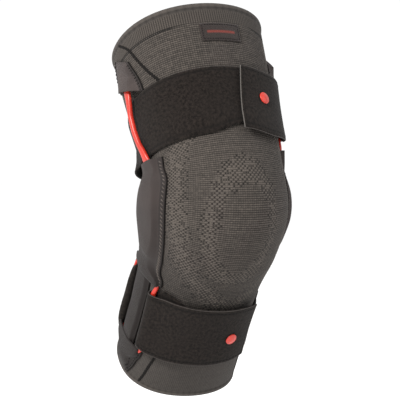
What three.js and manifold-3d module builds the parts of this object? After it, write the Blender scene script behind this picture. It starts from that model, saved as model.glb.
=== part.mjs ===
// A hinged knee brace as it sits on a slightly bent knee: a knitted sleeve, a hinge stay
// in a cloth pocket on each side, and two straps that pass the stays and close in front.
// Millimetres, +Z up. The origin is the knee's centre, midway between the two hinges.
// The front faces -Y, and +X is to the right of someone who looks at the front.
//
// Every piece follows the leg. A place on it is given by `along`, measured up the leg's
// centre line from the knee, by an angle round the leg (0 in front, 90 on the right side,
// -90 on the left) and by `out`, the height above the sleeve's inner face.

import * as THREE from "three";
import { mergeVertices } from "three/addons/utils/BufferGeometryUtils.js";
import Module from "manifold-3d";

const wasm = await Module();
wasm.setup();

// Leg that the sleeve is knitted for
const LENGTH_ABOVE_KNEE = 149;
const LENGTH_BELOW_KNEE = 165.5;
const KNEE_WIDTH = 114;
const KNEE_DEPTH = 114;
const THIGH_LEAN = 27.5; // degrees forward of upright, going up
const SHANK_LEAN = 30; // degrees back from upright, going down
const BEND_LENGTH = 80; // stretch of the centre line that bends
const BEND_RISE = 8; // middle of the bend above the knee's centre
const SQUARENESS = 0.0245; // how far a section's corners stand out from an ellipse
const KNEECAP_BULGE = 6;
const KNEECAP_RISE = 5;
const KNEECAP_REACH = 30; // along the leg
const KNEECAP_SPREAD = 31.5; // degrees round the leg

// Sleeve
const SLEEVE_WALL = 2.2;
const WELT_THICKNESS = 0.8; // rolled edge at both rims, on top of the wall
const WELT_HEIGHT = 3.5;
const CLOTH_GAP = 0.5; // between layers that lie on each other

// Pockets on the two sides
const SIDE_ANGLE = 92;
const POCKET_WALL = 1.2;
const POCKET_WIDTH = 50;
const POCKET_BEVEL = 4.5; // run from the raised middle down to the sewn margin
const POCKET_INSET = 4.5; // from the bottom rim to the pocket's end
const NOTCH_RUN = 0.4; // length in which the raised cloth beside a notch comes down
const NOTCH_REACH = 20;
const NOTCH_CLEAR = 6;
const CAP_SHARE = 0.74; // of the sleeve above the upper window, covered by pocket cloth
const CAP_CLOSED = 9; // from its top down to the arm in it
const SIDE_COVER = 1.5; // from a hard part's side to the edge of the raised cloth
const END_COVER = 1; // the same at its end
const EAR_RUN = 3; // from a loop's bar to where the raised cloth starts to come down

// Hinge stays
const ARM_WIDTH = 16;
const ARM_THICKNESS = 2.6;
const HINGE_LENGTH = 60;
const HINGE_WIDTH = 32;
const HINGE_THICKNESS = 4.4;
const HINGE_DROP = 9; // from the knee's centre down to the hinge's middle
const HINGE_FORWARD = 3.5; // from the pocket's middle
const BRIDGE_WIDTH = 4.8; // middle of the bar that spans the upper strap
const BRIDGE_THICKNESS = 4.2;
const BRIDGE_END = 6.9; // width of its ends, beside the strap
const BRIDGE_FORWARD = 9; // in front of the pocket's middle
const FOOT_WIDTH = 9.1; // where the bar goes into the cloth
const FOOT_THICKNESS = 3.9;
const FOOT_RISE = 0.4;
const LEFT_BOW = 4.6; // the left one's middle stands this far behind its ends
const RIGHT_BOW = 1.6; // and the right one's, which has the strap folded round it
const BRIDGE_RISE = 1.3; // from a bridge's ends up to its middle
const LOOP_REACH = 26; // from the pocket's middle to the lower loop's rail
const LOOP_THICKNESS = 4.4;
const SLIM_REACH = 22.5; // from there to the slim rail behind the left arm
const SLIM_THICKNESS = 2.4;
const SLIM_CORNER = 4;
const LOOP_CORNER = 7;
const LOOP_INSET = 3.5; // from the cloth's edge to the bars that join the rail to the arm
const LOOP_COVER = 2.5; // extra height of the cloth over those bars
const EAR_ROOM = 0.8; // from the rail's side to the raised cloth's edge
const EAR_MARGIN = 1.6; // cloth beside that edge
const BAR_MARGIN = 1.2; // from a strap's edge to where the bridge turns down
const ARM_TIP = 5; // length in which an arm's end narrows
const BRIDGE_TURN = 8; // length in which an arm rises into the bridge
const FOOT_INSIDE = 1; // from the cloth's edge to the bridge's lower foot

// Straps
const STRAP_WIDTH = 51;
const STRAP_THICKNESS = 2;
const UPPER_STRAP_SHARE = 0.4336; // of the length above the knee, up to its middle
const LOWER_STRAP_SHARE = 0.6224; // of the length below the knee, down to its middle
const UPPER_STRAP_DROP = 13; // how far its back hangs below the sides
const UPPER_STRAP_LIFT = 6; // how far its right side rises above the front
const STRAP_FLARE = 5; // where its lower edge stands off the hollow behind the left hinge
const LOWER_STRAP_TILT = 6.4; // how far its front rises above the sides
const LOWER_STRAP_DROP = 2.6;
const WINDOW_BELOW = 5; // from a strap's lower edge to the cloth under it
const WINDOW_ABOVE = 13; // from its upper edge to the cloth over it
const UPPER_TAB_END = 4.5; // degrees round the leg
const UPPER_TAB_SLANT = 3.5; // how far the end's upper corner turns on
const LOWER_TAB_END = 37;
const SEWN_END = 26; // degrees that the lower strap's sewn end lies on itself
const TAB_DROP = 15; // degrees in which a tab comes down from its bar
const HOOK_THICKNESS = 0.9;
const HOOK_LENGTH = 62;
const HOOK_MARGIN = 2.5;
const BUTTON_DIAMETER = 12;
const BUTTON_HEIGHT = 2.2;
const BUTTON_INSET = 22; // from the tab's end
const BUTTON_GAP = 0.3;

// Label
const LABEL_WIDTH = 35;
const LABEL_HEIGHT = 16;
const LABEL_THICKNESS = 0.8;
const LABEL_DROP = 27; // from the top rim to the label's middle

// Sections of the leg, inside the sleeve. `at` is a share of the length above the knee
// (or below it, where negative), `side` of half the knee's width, `front` and `back`
// of half its depth.
const SECTIONS = [
  { at: -1.0, side: 0.86, front: 0.7, back: 1.05 },
  { at: -0.785, side: 0.85, front: 0.78, back: 0.99 },
  { at: -0.574, side: 0.827, front: 0.802, back: 0.93 },
  { at: -0.363, side: 0.843, front: 0.861, back: 0.884 },
  { at: -0.169, side: 0.936, front: 0.981, back: 0.884 },
  { at: 0, side: 1, front: 1.079, back: 0.923 },
  { at: 0.201, side: 0.938, front: 0.965, back: 0.895 },
  { at: 0.416, side: 0.968, front: 0.958, back: 0.981 },
  { at: 0.671, side: 1.033, front: 1.025, back: 1.077 },
  { at: 1.0, side: 1.083, front: 1.07, back: 1.126 },
];

const RADIAN = Math.PI / 180;
const TOP = LENGTH_ABOVE_KNEE;
const BOTTOM = -LENGTH_BELOW_KNEE;
const SLEEVE_OUT = SLEEVE_WALL + CLOTH_GAP;

const shareOf = (along) => along / (along > 0 ? LENGTH_ABOVE_KNEE : LENGTH_BELOW_KNEE);

// Smooth curve through one column of a table whose rows go up by `at`
function follow(rows, column, at) {
  const last = rows.length - 1;
  const clamped = Math.min(Math.max(at, rows[0].at), rows[last].at);
  let i = 0;
  while (i < last - 1 && clamped > rows[i + 1].at) i += 1;
  const slope = (k) => {
    const low = rows[Math.max(k - 1, 0)];
    const high = rows[Math.min(k + 1, last)];
    return (high[column] - low[column]) / (high.at - low.at);
  };
  const span = rows[i + 1].at - rows[i].at;
  const t = (clamped - rows[i].at) / span;
  const rise = rows[i + 1][column] - rows[i][column];
  const bend = t * (1 - t) * ((slope(i) * span - rise) * (1 - t) - (slope(i + 1) * span - rise) * t);
  return rows[i][column] + rise * t + bend;
}

// Centre line in the leg's own plane: straight, one round bend, straight
function rawCentre(along) {
  const radius = BEND_LENGTH / ((THIGH_LEAN + SHANK_LEAN) * RADIAN);
  const fromBend = along - BEND_RISE;
  const inBend = Math.min(Math.max(fromBend, -BEND_LENGTH / 2), BEND_LENGTH / 2);
  const lean = -SHANK_LEAN * RADIAN + (inBend + BEND_LENGTH / 2) / radius;
  const beyond = fromBend - inBend;
  return {
    y: -radius * Math.cos(lean) + beyond * Math.sin(lean),
    z: radius * Math.sin(lean) + beyond * Math.cos(lean),
    lean,
  };
}
const KNEE_CENTRE = rawCentre(0);

// Point on the sleeve's inner face
function legPoint(along, degrees) {
  const angle = degrees * RADIAN;
  const at = shareOf(along);
  const centre = rawCentre(along);
  const square = 1 + SQUARENESS * Math.sin(2 * angle) ** 2;
  const half = Math.cos(angle) > 0 ? follow(SECTIONS, "front", at) : follow(SECTIONS, "back", at);
  const side = follow(SECTIONS, "side", at) * (KNEE_WIDTH / 2);
  const round = Math.atan2(Math.sin(angle), Math.cos(angle)) / (KNEECAP_SPREAD * RADIAN);
  const rise = (along - KNEECAP_RISE) / KNEECAP_REACH;
  const kneecap = KNEECAP_BULGE * Math.exp(-(rise ** 2) - round ** 2);
  const forward = half * (KNEE_DEPTH / 2) * Math.cos(angle) * square + kneecap;
  return new THREE.Vector3(
    side * Math.sin(angle) * square,
    centre.y - KNEE_CENTRE.y - forward * Math.cos(centre.lean),
    centre.z - KNEE_CENTRE.z + forward * Math.sin(centre.lean),
  );
}

function legNormal(along, degrees) {
  const step = 0.05;
  const up = legPoint(along + step, degrees).sub(legPoint(along - step, degrees));
  const round = legPoint(along, degrees + step).sub(legPoint(along, degrees - step));
  return round.cross(up).normalize();
}

function place(along, degrees, out) {
  return legPoint(along, degrees).addScaledVector(legNormal(along, degrees), out);
}

// Degrees round the leg that `distance` covers at height `out`
function degreesFor(distance, along, degrees, out) {
  const step = 0.5;
  const arc = place(along, degrees + step, out).distanceTo(place(along, degrees - step, out));
  return (distance * 2 * step) / arc;
}

// Point beside a pocket's middle line: `forward` is measured round the leg
function placeBeside(hand, along, forward, out) {
  const turn = degreesFor(forward, along, hand * SIDE_ANGLE, POCKET_LEVEL);
  return place(along, hand * (SIDE_ANGLE - turn), out);
}

const range = (count) => Array.from({ length: count }, (_, i) => i);

// Indexed faces to a mesh whose faces point out
function solid(name, material, positions, faces) {
  const geometry = new THREE.BufferGeometry();
  const numbers = positions.flatMap((point) => point.toArray());
  geometry.setAttribute("position", new THREE.Float32BufferAttribute(numbers, 3));
  const volume = faces.reduce((sum, [a, b, c]) => {
    return sum + positions[a].dot(positions[b].clone().cross(positions[c]));
  }, 0);
  geometry.setIndex(volume > 0 ? faces.flat() : faces.flatMap(([a, b, c]) => [a, c, b]));
  geometry.computeVertexNormals();
  const mesh = new THREE.Mesh(geometry, material);
  mesh.name = name;
  return mesh;
}

// Sheet between two grids of points, rows by columns. Where `closed`, the last column
// joins the first and only the first and last row have an edge.
function sheet(name, material, outer, inner, closed = false) {
  const rows = outer.length;
  const columns = outer[0].length;
  const faces = [];
  const quad = (a, b, c, d) => faces.push([a, b, c], [a, c, d]);
  const top = (i, k) => i * columns + (k % columns);
  const under = (i, k) => rows * columns + top(i, k);
  const spans = closed ? columns : columns - 1;
  for (let i = 0; i < rows - 1; i += 1) {
    for (let k = 0; k < spans; k += 1) {
      quad(top(i, k), top(i, k + 1), top(i + 1, k + 1), top(i + 1, k));
      quad(under(i, k), under(i + 1, k), under(i + 1, k + 1), under(i, k + 1));
    }
    if (!closed) {
      quad(top(i, 0), top(i + 1, 0), under(i + 1, 0), under(i, 0));
      const end = columns - 1;
      quad(top(i, end), under(i, end), under(i + 1, end), top(i + 1, end));
    }
  }
  for (let k = 0; k < spans; k += 1) {
    quad(top(0, k), under(0, k), under(0, k + 1), top(0, k + 1));
    quad(top(rows - 1, k), top(rows - 1, k + 1), under(rows - 1, k + 1), under(rows - 1, k));
  }
  return solid(name, material, [...outer.flat(), ...inner.flat()], faces);
}

// Solid through a row of closed rings, with a flat fan at each end
function loft(name, material, rings) {
  const count = rings[0].length;
  const positions = rings.flat();
  const faces = [];
  const at = (i, k) => i * count + (k % count);
  for (let i = 0; i < rings.length - 1; i += 1) {
    for (let k = 0; k < count; k += 1) {
      faces.push([at(i, k), at(i, k + 1), at(i + 1, k + 1)]);
      faces.push([at(i, k), at(i + 1, k + 1), at(i + 1, k)]);
    }
  }
  for (let k = 1; k < count - 1; k += 1) {
    faces.push([at(0, 0), at(0, k + 1), at(0, k)]);
    faces.push([at(rings.length - 1, 0), at(rings.length - 1, k), at(rings.length - 1, k + 1)]);
  }
  return solid(name, material, positions, faces);
}

function toManifold(mesh) {
  const geometry = mesh.geometry.clone();
  geometry.deleteAttribute("normal");
  geometry.deleteAttribute("uv");
  const merged = mergeVertices(geometry);
  const vertProperties = new Float32Array(merged.attributes.position.array);
  const triVerts = new Uint32Array(merged.index.array);
  return new wasm.Manifold(new wasm.Mesh({ numProp: 3, vertProperties, triVerts }));
}

function fromManifold(name, material, whole) {
  const { vertProperties, triVerts } = whole.getMesh();
  const geometry = new THREE.BufferGeometry();
  geometry.setAttribute("position", new THREE.Float32BufferAttribute(vertProperties, 3));
  geometry.setIndex(Array.from(triVerts));
  geometry.computeVertexNormals();
  const mesh = new THREE.Mesh(geometry, material);
  mesh.name = name;
  return mesh;
}

// One body out of several that run into each other
function join(name, material, meshes) {
  return fromManifold(name, material, meshes.map(toManifold).reduce((sum, next) => sum.add(next)));
}

// A body with others cut out of it
function cut(mesh, cutters) {
  const rest = cutters.map(toManifold).reduce((left, cutter) => left.subtract(cutter), toManifold(mesh));
  return fromManifold(mesh.name, mesh.material, rest);
}

// Materials
const finish = (color, roughness) => new THREE.MeshStandardMaterial({ color, roughness, metalness: 0 });
const knit = () => finish(0x5d564f, 0.95);
const pocketCloth = () => finish(0x403e3e, 0.9);
const strapPlush = () => finish(0x2b2724, 0.97);
const hookCloth = () => finish(0x6c6862, 0.8);
const redPlastic = () => finish(0xe04a3c, 0.4);
const labelCloth = () => finish(0x2e2522, 0.85);

// Knitted sleeve: an open tube with a rolled edge at each rim
const SLEEVE_COLUMNS = 36;
const SLEEVE_STEP = 18; // between rings where the leg is straight, and half of it in the bend

function sleeveLevels() {
  const welt = [
    { at: 0, thick: WELT_THICKNESS * 0.6 },
    { at: WELT_HEIGHT * 0.35, thick: WELT_THICKNESS },
    { at: WELT_HEIGHT * 0.8, thick: WELT_THICKNESS * 0.75 },
    { at: WELT_HEIGHT, thick: 0 },
  ];
  const low = welt.map(({ at, thick }) => ({ along: BOTTOM + at, thick }));
  const high = welt.map(({ at, thick }) => ({ along: TOP - at, thick })).reverse();
  const stretches = [
    { from: BOTTOM + WELT_HEIGHT, to: BEND_RISE - BEND_LENGTH / 2, step: SLEEVE_STEP },
    { from: BEND_RISE - BEND_LENGTH / 2, to: BEND_RISE + BEND_LENGTH / 2, step: SLEEVE_STEP / 2 },
    { from: BEND_RISE + BEND_LENGTH / 2, to: TOP - WELT_HEIGHT, step: SLEEVE_STEP },
  ];
  const middle = stretches.flatMap(({ from, to, step }) => {
    const count = Math.round((to - from) / step);
    return range(count).map((i) => ({ along: from + ((to - from) * (i + 1)) / count, thick: 0 }));
  });
  return [...low, ...middle.slice(0, -1), ...high];
}

function kneeSleeve() {
  const angles = range(SLEEVE_COLUMNS).map((k) => (k * 360) / SLEEVE_COLUMNS);
  const levels = sleeveLevels();
  const face = (out) => levels.map((row) => angles.map((angle) => place(row.along, angle, out(row))));
  return sheet("knit_sleeve", knit(), face((row) => SLEEVE_WALL + row.thick), face(() => 0), true);
}

// Heights of the layers that lie on the sleeve
const ARM_OUT = SLEEVE_OUT + ARM_THICKNESS / 2;
const HINGE_OUT = SLEEVE_OUT + HINGE_THICKNESS / 2;
const STRAP_OUT = SLEEVE_OUT + STRAP_THICKNESS / 2;
const SLIM_OUT = STRAP_OUT + STRAP_THICKNESS / 2 + CLOTH_GAP + SLIM_THICKNESS / 2;
const LOOP_OUT = STRAP_OUT + STRAP_THICKNESS / 2 + CLOTH_GAP + LOOP_THICKNESS / 2;
const BRIDGE_OUT = STRAP_OUT + STRAP_THICKNESS / 2 + CLOTH_GAP + BRIDGE_THICKNESS / 2;
const HOOK_OUT = STRAP_OUT + STRAP_THICKNESS / 2 + CLOTH_GAP + HOOK_THICKNESS / 2;
const SEWN_OUT = STRAP_OUT + STRAP_THICKNESS + CLOTH_GAP;
const TAB_OUT = HOOK_OUT + HOOK_THICKNESS / 2 + CLOTH_GAP + STRAP_THICKNESS / 2;
const POCKET_LEVEL = SLEEVE_OUT + ARM_THICKNESS;
const OVER_ARM = SLEEVE_OUT + ARM_THICKNESS + CLOTH_GAP;
const OVER_HINGE = SLEEVE_OUT + HINGE_THICKNESS + CLOTH_GAP;
const FOOT_OUT = (ARM_OUT + BRIDGE_OUT) / 2 + FOOT_RISE;
const OVER_FOOT = FOOT_OUT + FOOT_THICKNESS / 2 + CLOTH_GAP;
const OVER_POCKET = OVER_ARM + POCKET_WALL + CLOTH_GAP + STRAP_THICKNESS / 2;

// Straps: where their middle lies at an angle round the leg
const upperStrap = {
  at: UPPER_STRAP_SHARE * LENGTH_ABOVE_KNEE,
  front: 0,
  back: UPPER_STRAP_DROP,
  right: UPPER_STRAP_LIFT,
};
const lowerStrap = {
  at: -LOWER_STRAP_SHARE * LENGTH_BELOW_KNEE,
  front: LOWER_STRAP_TILT,
  back: LOWER_STRAP_DROP,
  right: 0,
};

function level(strap, degrees) {
  const ahead = Math.cos(degrees * RADIAN);
  const toRight = Math.max(Math.sin(degrees * RADIAN), 0);
  return strap.at + ahead * (ahead > 0 ? strap.front : strap.back) + strap.right * toRight ** 2;
}

// Angle of a line that runs beside a pocket's middle where a strap crosses it
function beside(strap, hand, forward) {
  const along = level(strap, hand * SIDE_ANGLE);
  return hand * (SIDE_ANGLE - degreesFor(forward, along, hand * SIDE_ANGLE, POCKET_LEVEL));
}

// The cloth beside a strap ends here, which leaves the strap a window
function windowFor(strap, degrees) {
  const middle = level(strap, degrees);
  return {
    low: middle - STRAP_WIDTH / 2 - WINDOW_BELOW,
    high: middle + STRAP_WIDTH / 2 + WINDOW_ABOVE,
  };
}

// The left stay's lower loop opens forward, and a slim one behind it holds the strap's
// sewn end. The right stay has one loop, which opens back.
const wide = { reach: LOOP_REACH, thickness: LOOP_THICKNESS, corner: LOOP_CORNER, out: LOOP_OUT };
const slim = { reach: SLIM_REACH, thickness: SLIM_THICKNESS, corner: SLIM_CORNER, out: SLIM_OUT };
const leftLoops = [{ ...wide, way: 1 }, { ...slim, way: -1 }];
const LEFT = { name: "left", hand: -1, bow: LEFT_BOW, loops: leftLoops };
const RIGHT = { name: "right", hand: 1, bow: RIGHT_BOW, loops: [{ ...wide, way: -1 }] };
const POCKET_END = BOTTOM + POCKET_INSET;

const upperWindow = (side) => windowFor(upperStrap, side.hand * SIDE_ANGLE);

function capTop(side) {
  const { high } = upperWindow(side);
  return high + (TOP - high) * CAP_SHARE;
}

// Level between the bridge and the hinge where the arm lies flat again
function shoulderLevel(side) {
  const { low } = upperWindow(side);
  return low + (HINGE_TOP + END_COVER - low) * 0.75;
}

function lowerWindow(side) {
  const [loop] = side.loops;
  return windowFor(lowerStrap, beside(lowerStrap, side.hand, loop.way * loop.reach));
}

// Bars that join the lower loops to the arm, above and below the strap
function crossBars(side) {
  const { low, high } = lowerWindow(side);
  return { top: high + LOOP_INSET, end: low - LOOP_INSET };
}

// Level at a share of the way from the lower bars down to the pocket's end
function footLevel(side, share) {
  const { end } = crossBars(side);
  return end + (POCKET_END - end) * share;
}

const ARM_LEAN = BRIDGE_FORWARD * 0.7; // forward of the arm's ends beside the bridge
const HINGE_TOP = HINGE_LENGTH / 2 - HINGE_DROP;
const HINGE_END = -HINGE_LENGTH / 2 - HINGE_DROP;

// Arm, hinge and bridge of a stay, as rows that go down the leg. `forward` is measured
// from the pocket's middle, `out` to the middle of the thickness.
function stayRows(side) {
  const { low, high } = upperWindow(side);
  const tip = capTop(side) - CAP_CLOSED;
  const arm = { out: ARM_OUT, wide: ARM_WIDTH / 2, thick: ARM_THICKNESS / 2 };
  const foot = { out: FOOT_OUT, wide: FOOT_WIDTH / 2, thick: FOOT_THICKNESS / 2 };
  const bar = { out: BRIDGE_OUT, wide: BRIDGE_END / 2, thick: BRIDGE_THICKNESS / 2 };
  const crest = (share) => ({
    out: BRIDGE_OUT + BRIDGE_RISE * share,
    wide: BRIDGE_WIDTH / 2,
    thick: BRIDGE_THICKNESS / 2,
    forward: BRIDGE_FORWARD - side.bow * share,
  });
  const barHigh = high - WINDOW_ABOVE + BAR_MARGIN;
  const barLow = low + WINDOW_BELOW - BAR_MARGIN;
  const middle = (barHigh + barLow) / 2;
  const upper = [
    { ...arm, along: tip, forward: ARM_LEAN, wide: ARM_WIDTH / 4 },
    { ...arm, along: tip - ARM_TIP, forward: ARM_LEAN },
    { ...arm, along: high + BRIDGE_TURN, forward: ARM_LEAN + 1 },
    { ...foot, along: high, forward: BRIDGE_FORWARD },
    { ...bar, along: barHigh, forward: BRIDGE_FORWARD },
    { ...crest(0.75), along: (barHigh + middle) / 2 },
    { ...crest(1), along: middle },
    { ...crest(0.75), along: (barLow + middle) / 2 },
    { ...bar, along: barLow, forward: BRIDGE_FORWARD },
    { ...foot, along: low - FOOT_INSIDE, forward: BRIDGE_FORWARD },
    { ...arm, along: shoulderLevel(side), forward: ARM_LEAN },
    { ...arm, along: HINGE_TOP + END_COVER, forward: (ARM_LEAN + HINGE_FORWARD) / 2 },
  ];
  const hinge = [62, 40, 20, 0, -20, -40, -62].map((turn) => ({
    along: (HINGE_LENGTH / 2) * Math.sin(turn * RADIAN) - HINGE_DROP,
    forward: HINGE_FORWARD,
    out: HINGE_OUT,
    wide: (HINGE_WIDTH / 2) * Math.cos(turn * RADIAN),
    thick: HINGE_THICKNESS / 2,
  }));
  const armTop = HINGE_END - END_COVER;
  const armEnd = footLevel(side, 0.375);
  const lower = range(7).map((i) => {
    return { ...arm, along: armTop + ((armEnd - armTop) * i) / 6, forward: 0 };
  });
  const end = { ...arm, along: armEnd - ARM_TIP, forward: 0, wide: ARM_WIDTH / 4 };
  return [...upper, ...hinge, ...lower, end];
}

const STAY_SIDES = 10;

function staySpine(side) {
  const rings = stayRows(side).map((row) => range(STAY_SIDES).map((k) => {
    const turn = (2 * Math.PI * k) / STAY_SIDES;
    const across = Math.sign(Math.cos(turn)) * Math.abs(Math.cos(turn)) ** 0.8;
    const height = Math.sign(Math.sin(turn)) * Math.abs(Math.sin(turn)) ** 0.6;
    return placeBeside(side.hand, row.along, row.forward + row.wide * across, row.out + row.thick * height);
  }));
  return loft("spine", redPlastic(), rings);
}

// Lower loop: a rail beside the arm, joined to it above and below the strap
function stayLoop(side, loop) {
  const bars = crossBars(side);
  const thin = Math.min(loop.thickness * 0.5, LOOP_THICKNESS * 0.36);
  const crossOut = SLEEVE_OUT + thin;
  const climb = loop.out - crossOut;
  const turnCorner = (turn, share) => ({
    along: bars.top - loop.corner * (1 - Math.cos(turn * RADIAN)),
    reach: loop.reach - loop.corner * (1 - Math.sin(turn * RADIAN)),
    out: crossOut + climb * share,
    thick: thin + (loop.thickness * 0.46 - thin) * share,
  });
  const crossRun = loop.reach - loop.corner - ARM_WIDTH / 4;
  const cross = [0, 0.5].map((share) => {
    return { along: bars.top, reach: ARM_WIDTH / 4 + crossRun * share, out: crossOut, thick: thin };
  });
  const top = [
    ...cross,
    turnCorner(0, 0),
    turnCorner(30, 0.08),
    turnCorner(60, 0.4),
    turnCorner(90, 1),
  ];
  const end = top.map((row) => ({ ...row, along: bars.end + (bars.top - row.along) })).reverse();
  const rail = range(4).map((i) => ({
    along: bars.top - loop.corner + ((bars.end - bars.top + 2 * loop.corner) * (i + 1)) / 5,
    reach: loop.reach,
    out: loop.out,
    thick: loop.thickness / 2,
  }));
  const rows = [...top, ...rail, ...end];
  const at = (row) => place(row.along, beside(lowerStrap, side.hand, loop.way * row.reach), row.out);
  const rings = rows.map((row, i) => {
    const ahead = at(rows[Math.min(i + 1, rows.length - 1)]);
    const tangent = ahead.sub(at(rows[Math.max(i - 1, 0)])).normalize();
    const up = at({ ...row, out: row.out + 1 }).sub(at(row)).normalize();
    const across = tangent.clone().cross(up).normalize();
    return range(LOOP_SIDES).map((k) => {
      const turn = (2 * Math.PI * (k + 0.5)) / LOOP_SIDES;
      const beyond = at(row).addScaledVector(across, row.thick * Math.cos(turn));
      return beyond.addScaledVector(up, row.thick * Math.sin(turn));
    });
  });
  return loft("loop", redPlastic(), rings);
}

const LOOP_SIDES = 8;

function hingeStay(side) {
  const loops = side.loops.map((loop) => stayLoop(side, loop));
  return join(`${side.name}_hinge_stay`, redPlastic(), [staySpine(side), ...loops]);
}

// Rows with others put between those that lie far apart
function fillRows(rows, step) {
  return rows.flatMap((row, i) => {
    if (i === 0) return [row];
    const before = rows[i - 1];
    const count = Math.max(1, Math.ceil(Math.abs(row.along - before.along) / step));
    return range(count).map((k) => {
      const t = (k + 1) / count;
      const mixed = Object.keys(row).map((column) => [column, before[column] * (1 - t) + row[column] * t]);
      return Object.fromEntries(mixed);
    });
  });
}

// Pocket cloth, as rows that go down the leg. The raised middle runs from `rear` to
// `front` at the height `over`, with a sewn margin out to `rearEdge` and `frontEdge`.
function pocketFace(side, rows, lift) {
  return rows.map((row) => {
    const run = Math.min(POCKET_BEVEL, (row.frontEdge - row.front) * 0.7, (row.rear - row.rearEdge) * 0.7);
    const stops = [
      { forward: row.rearEdge, out: SLEEVE_OUT },
      { forward: row.rear - run, out: SLEEVE_OUT + (row.over - SLEEVE_OUT) * 0.1 },
      { forward: row.rear, out: row.over },
      { forward: row.rear * 0.75 + row.front * 0.25, out: row.over },
      { forward: (row.rear + row.front) / 2, out: row.over },
      { forward: row.rear * 0.25 + row.front * 0.75, out: row.over },
      { forward: row.front, out: row.over },
      { forward: row.front + run, out: SLEEVE_OUT + (row.over - SLEEVE_OUT) * 0.1 },
      { forward: row.frontEdge, out: SLEEVE_OUT },
    ];
    return stops.map((stop) => placeBeside(side.hand, row.along, stop.forward, stop.out + lift));
  });
}

function pocketSheet(name, side, rows) {
  const filled = fillRows(rows, POCKET_STEP);
  return sheet(name, pocketCloth(), pocketFace(side, filled, POCKET_WALL), pocketFace(side, filled, 0));
}

const POCKET_STEP = 10;
const HALF_POCKET = POCKET_WIDTH / 2;
const ARM_COVER = ARM_WIDTH / 2 + SIDE_COVER;
const FOOT_COVER = BRIDGE_WIDTH + SIDE_COVER;
const STRIP_EDGE = ARM_COVER + POCKET_BEVEL * 1.5;

// Rows between the hinge and the lower loops, with their half width as a share
const NECK = [
  { share: 0.26, edge: 0.97 },
  { share: 0.47, edge: 0.94 },
  { share: 0.75, edge: 0.95 },
];

function pocketRows(side) {
  const { low, high } = lowerWindow(side);
  const bars = crossBars(side);
  const upper = upperWindow(side);
  const plain = (along, edge) => {
    const middle = { over: OVER_ARM, rear: -ARM_COVER, front: ARM_COVER };
    return { along, ...middle, rearEdge: -HALF_POCKET * edge, frontEdge: HALF_POCKET * edge };
  };
  const hinge = (turn, edge) => {
    const reach = (HINGE_WIDTH / 2) * Math.cos(turn * RADIAN) + SIDE_COVER;
    const along = (HINGE_LENGTH / 2 + END_COVER) * Math.sin(turn * RADIAN) - HINGE_DROP;
    const middle = { over: OVER_HINGE, rear: HINGE_FORWARD - reach, front: HINGE_FORWARD + reach };
    return { ...plain(along, edge), ...middle };
  };
  const ear = (along) => {
    const row = { ...plain(along, 0.95), over: OVER_ARM + LOOP_COVER };
    side.loops.forEach((loop) => {
      const reach = loop.reach + loop.thickness / 2 + EAR_ROOM;
      Object.assign(row, loop.way > 0
        ? { front: reach, frontEdge: reach + EAR_MARGIN }
        : { rear: -reach, rearEdge: -reach - EAR_MARGIN });
    });
    return row;
  };
  const mouth = {
    along: upper.low,
    over: OVER_FOOT,
    rearEdge: -HALF_POCKET * 0.7,
    rear: BRIDGE_FORWARD - FOOT_COVER,
    front: BRIDGE_FORWARD + FOOT_COVER,
    frontEdge: HALF_POCKET * 0.82,
  };
  const shoulder = plain(shoulderLevel(side), 0.84);
  const hingeEnd = hinge(-62, 1);
  const neck = hingeEnd.along - bars.top - EAR_RUN;
  return [
    mouth,
    { ...shoulder, rear: ARM_LEAN - ARM_COVER, front: ARM_LEAN + ARM_COVER },
    { ...plain(HINGE_TOP + END_COVER, 0.92), front: ARM_COVER + 2 },
    hinge(62, 1),
    hinge(35, 1.06),
    hinge(0, 1.12),
    hinge(-35, 1.06),
    hingeEnd,
    ...NECK.map(({ share, edge }) => plain(hingeEnd.along - neck * share, edge)),
    ear(bars.top + EAR_RUN),
    ear(high),
    plain(high - NOTCH_RUN, 1),
    plain(low + NOTCH_RUN, 1),
    ear(low),
    ear(bars.end - EAR_RUN),
    plain(footLevel(side, 0.35), 0.95),
    plain(footLevel(side, 0.66), 0.85),
    { ...plain(POCKET_END, 0.55), over: SLEEVE_OUT, rear: -4, front: 4 },
  ];
}

function capRows(side) {
  const top = capTop(side);
  const { high } = upperWindow(side);
  const row = (along, over, middle, cover, rearEdge, frontEdge) => ({
    along,
    over,
    rear: middle - cover,
    front: middle + cover,
    rearEdge: -HALF_POCKET * rearEdge,
    frontEdge: HALF_POCKET * frontEdge,
  });
  const tip = top - CAP_CLOSED;
  return [
    row(top, SLEEVE_OUT, ARM_LEAN, 3, 0.45, 0.45),
    row(tip + END_COVER * 2, OVER_ARM, ARM_LEAN, ARM_COVER * 0.6, 0.7, 0.68),
    row(tip - ARM_TIP + END_COVER, OVER_ARM, ARM_LEAN, ARM_COVER, 0.8, 0.8),
    row(high + BRIDGE_TURN, OVER_ARM, ARM_LEAN + 0.5, ARM_COVER + 0.5, 0.88, 0.86),
    row(high, OVER_FOOT, BRIDGE_FORWARD, FOOT_COVER, 0.9, 0.88),
  ];
}

// What is cut out of a pocket's cloth beside its middle strip, on the side where `way` points
function notch(side, way) {
  const { low, high } = lowerWindow(side);
  const levels = fillRows([{ along: high + NOTCH_RUN }, { along: low - NOTCH_RUN }], POCKET_STEP);
  const face = (out) => levels.map(({ along }) => [STRIP_EDGE, STRIP_EDGE + NOTCH_REACH].map((forward) => {
    return placeBeside(side.hand, along, way * forward, out);
  }));
  return sheet("notch", pocketCloth(), face(OVER_FOOT + NOTCH_CLEAR), face(0));
}

function pocket(side) {
  const whole = pocketSheet(`${side.name}_pocket`, side, pocketRows(side));
  return cut(whole, [notch(side, 1), notch(side, -1)]);
}
const pocketCap = (side) => pocketSheet(`${side.name}_pocket_cap`, side, capRows(side));

// A strap's route: stops round the leg joined by soft steps. Where a stop has `flare`,
// the strap's lower edge stands off the leg, and where it has `slant`, its end is skew.
const STEP_DEGREES = 8;

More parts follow.
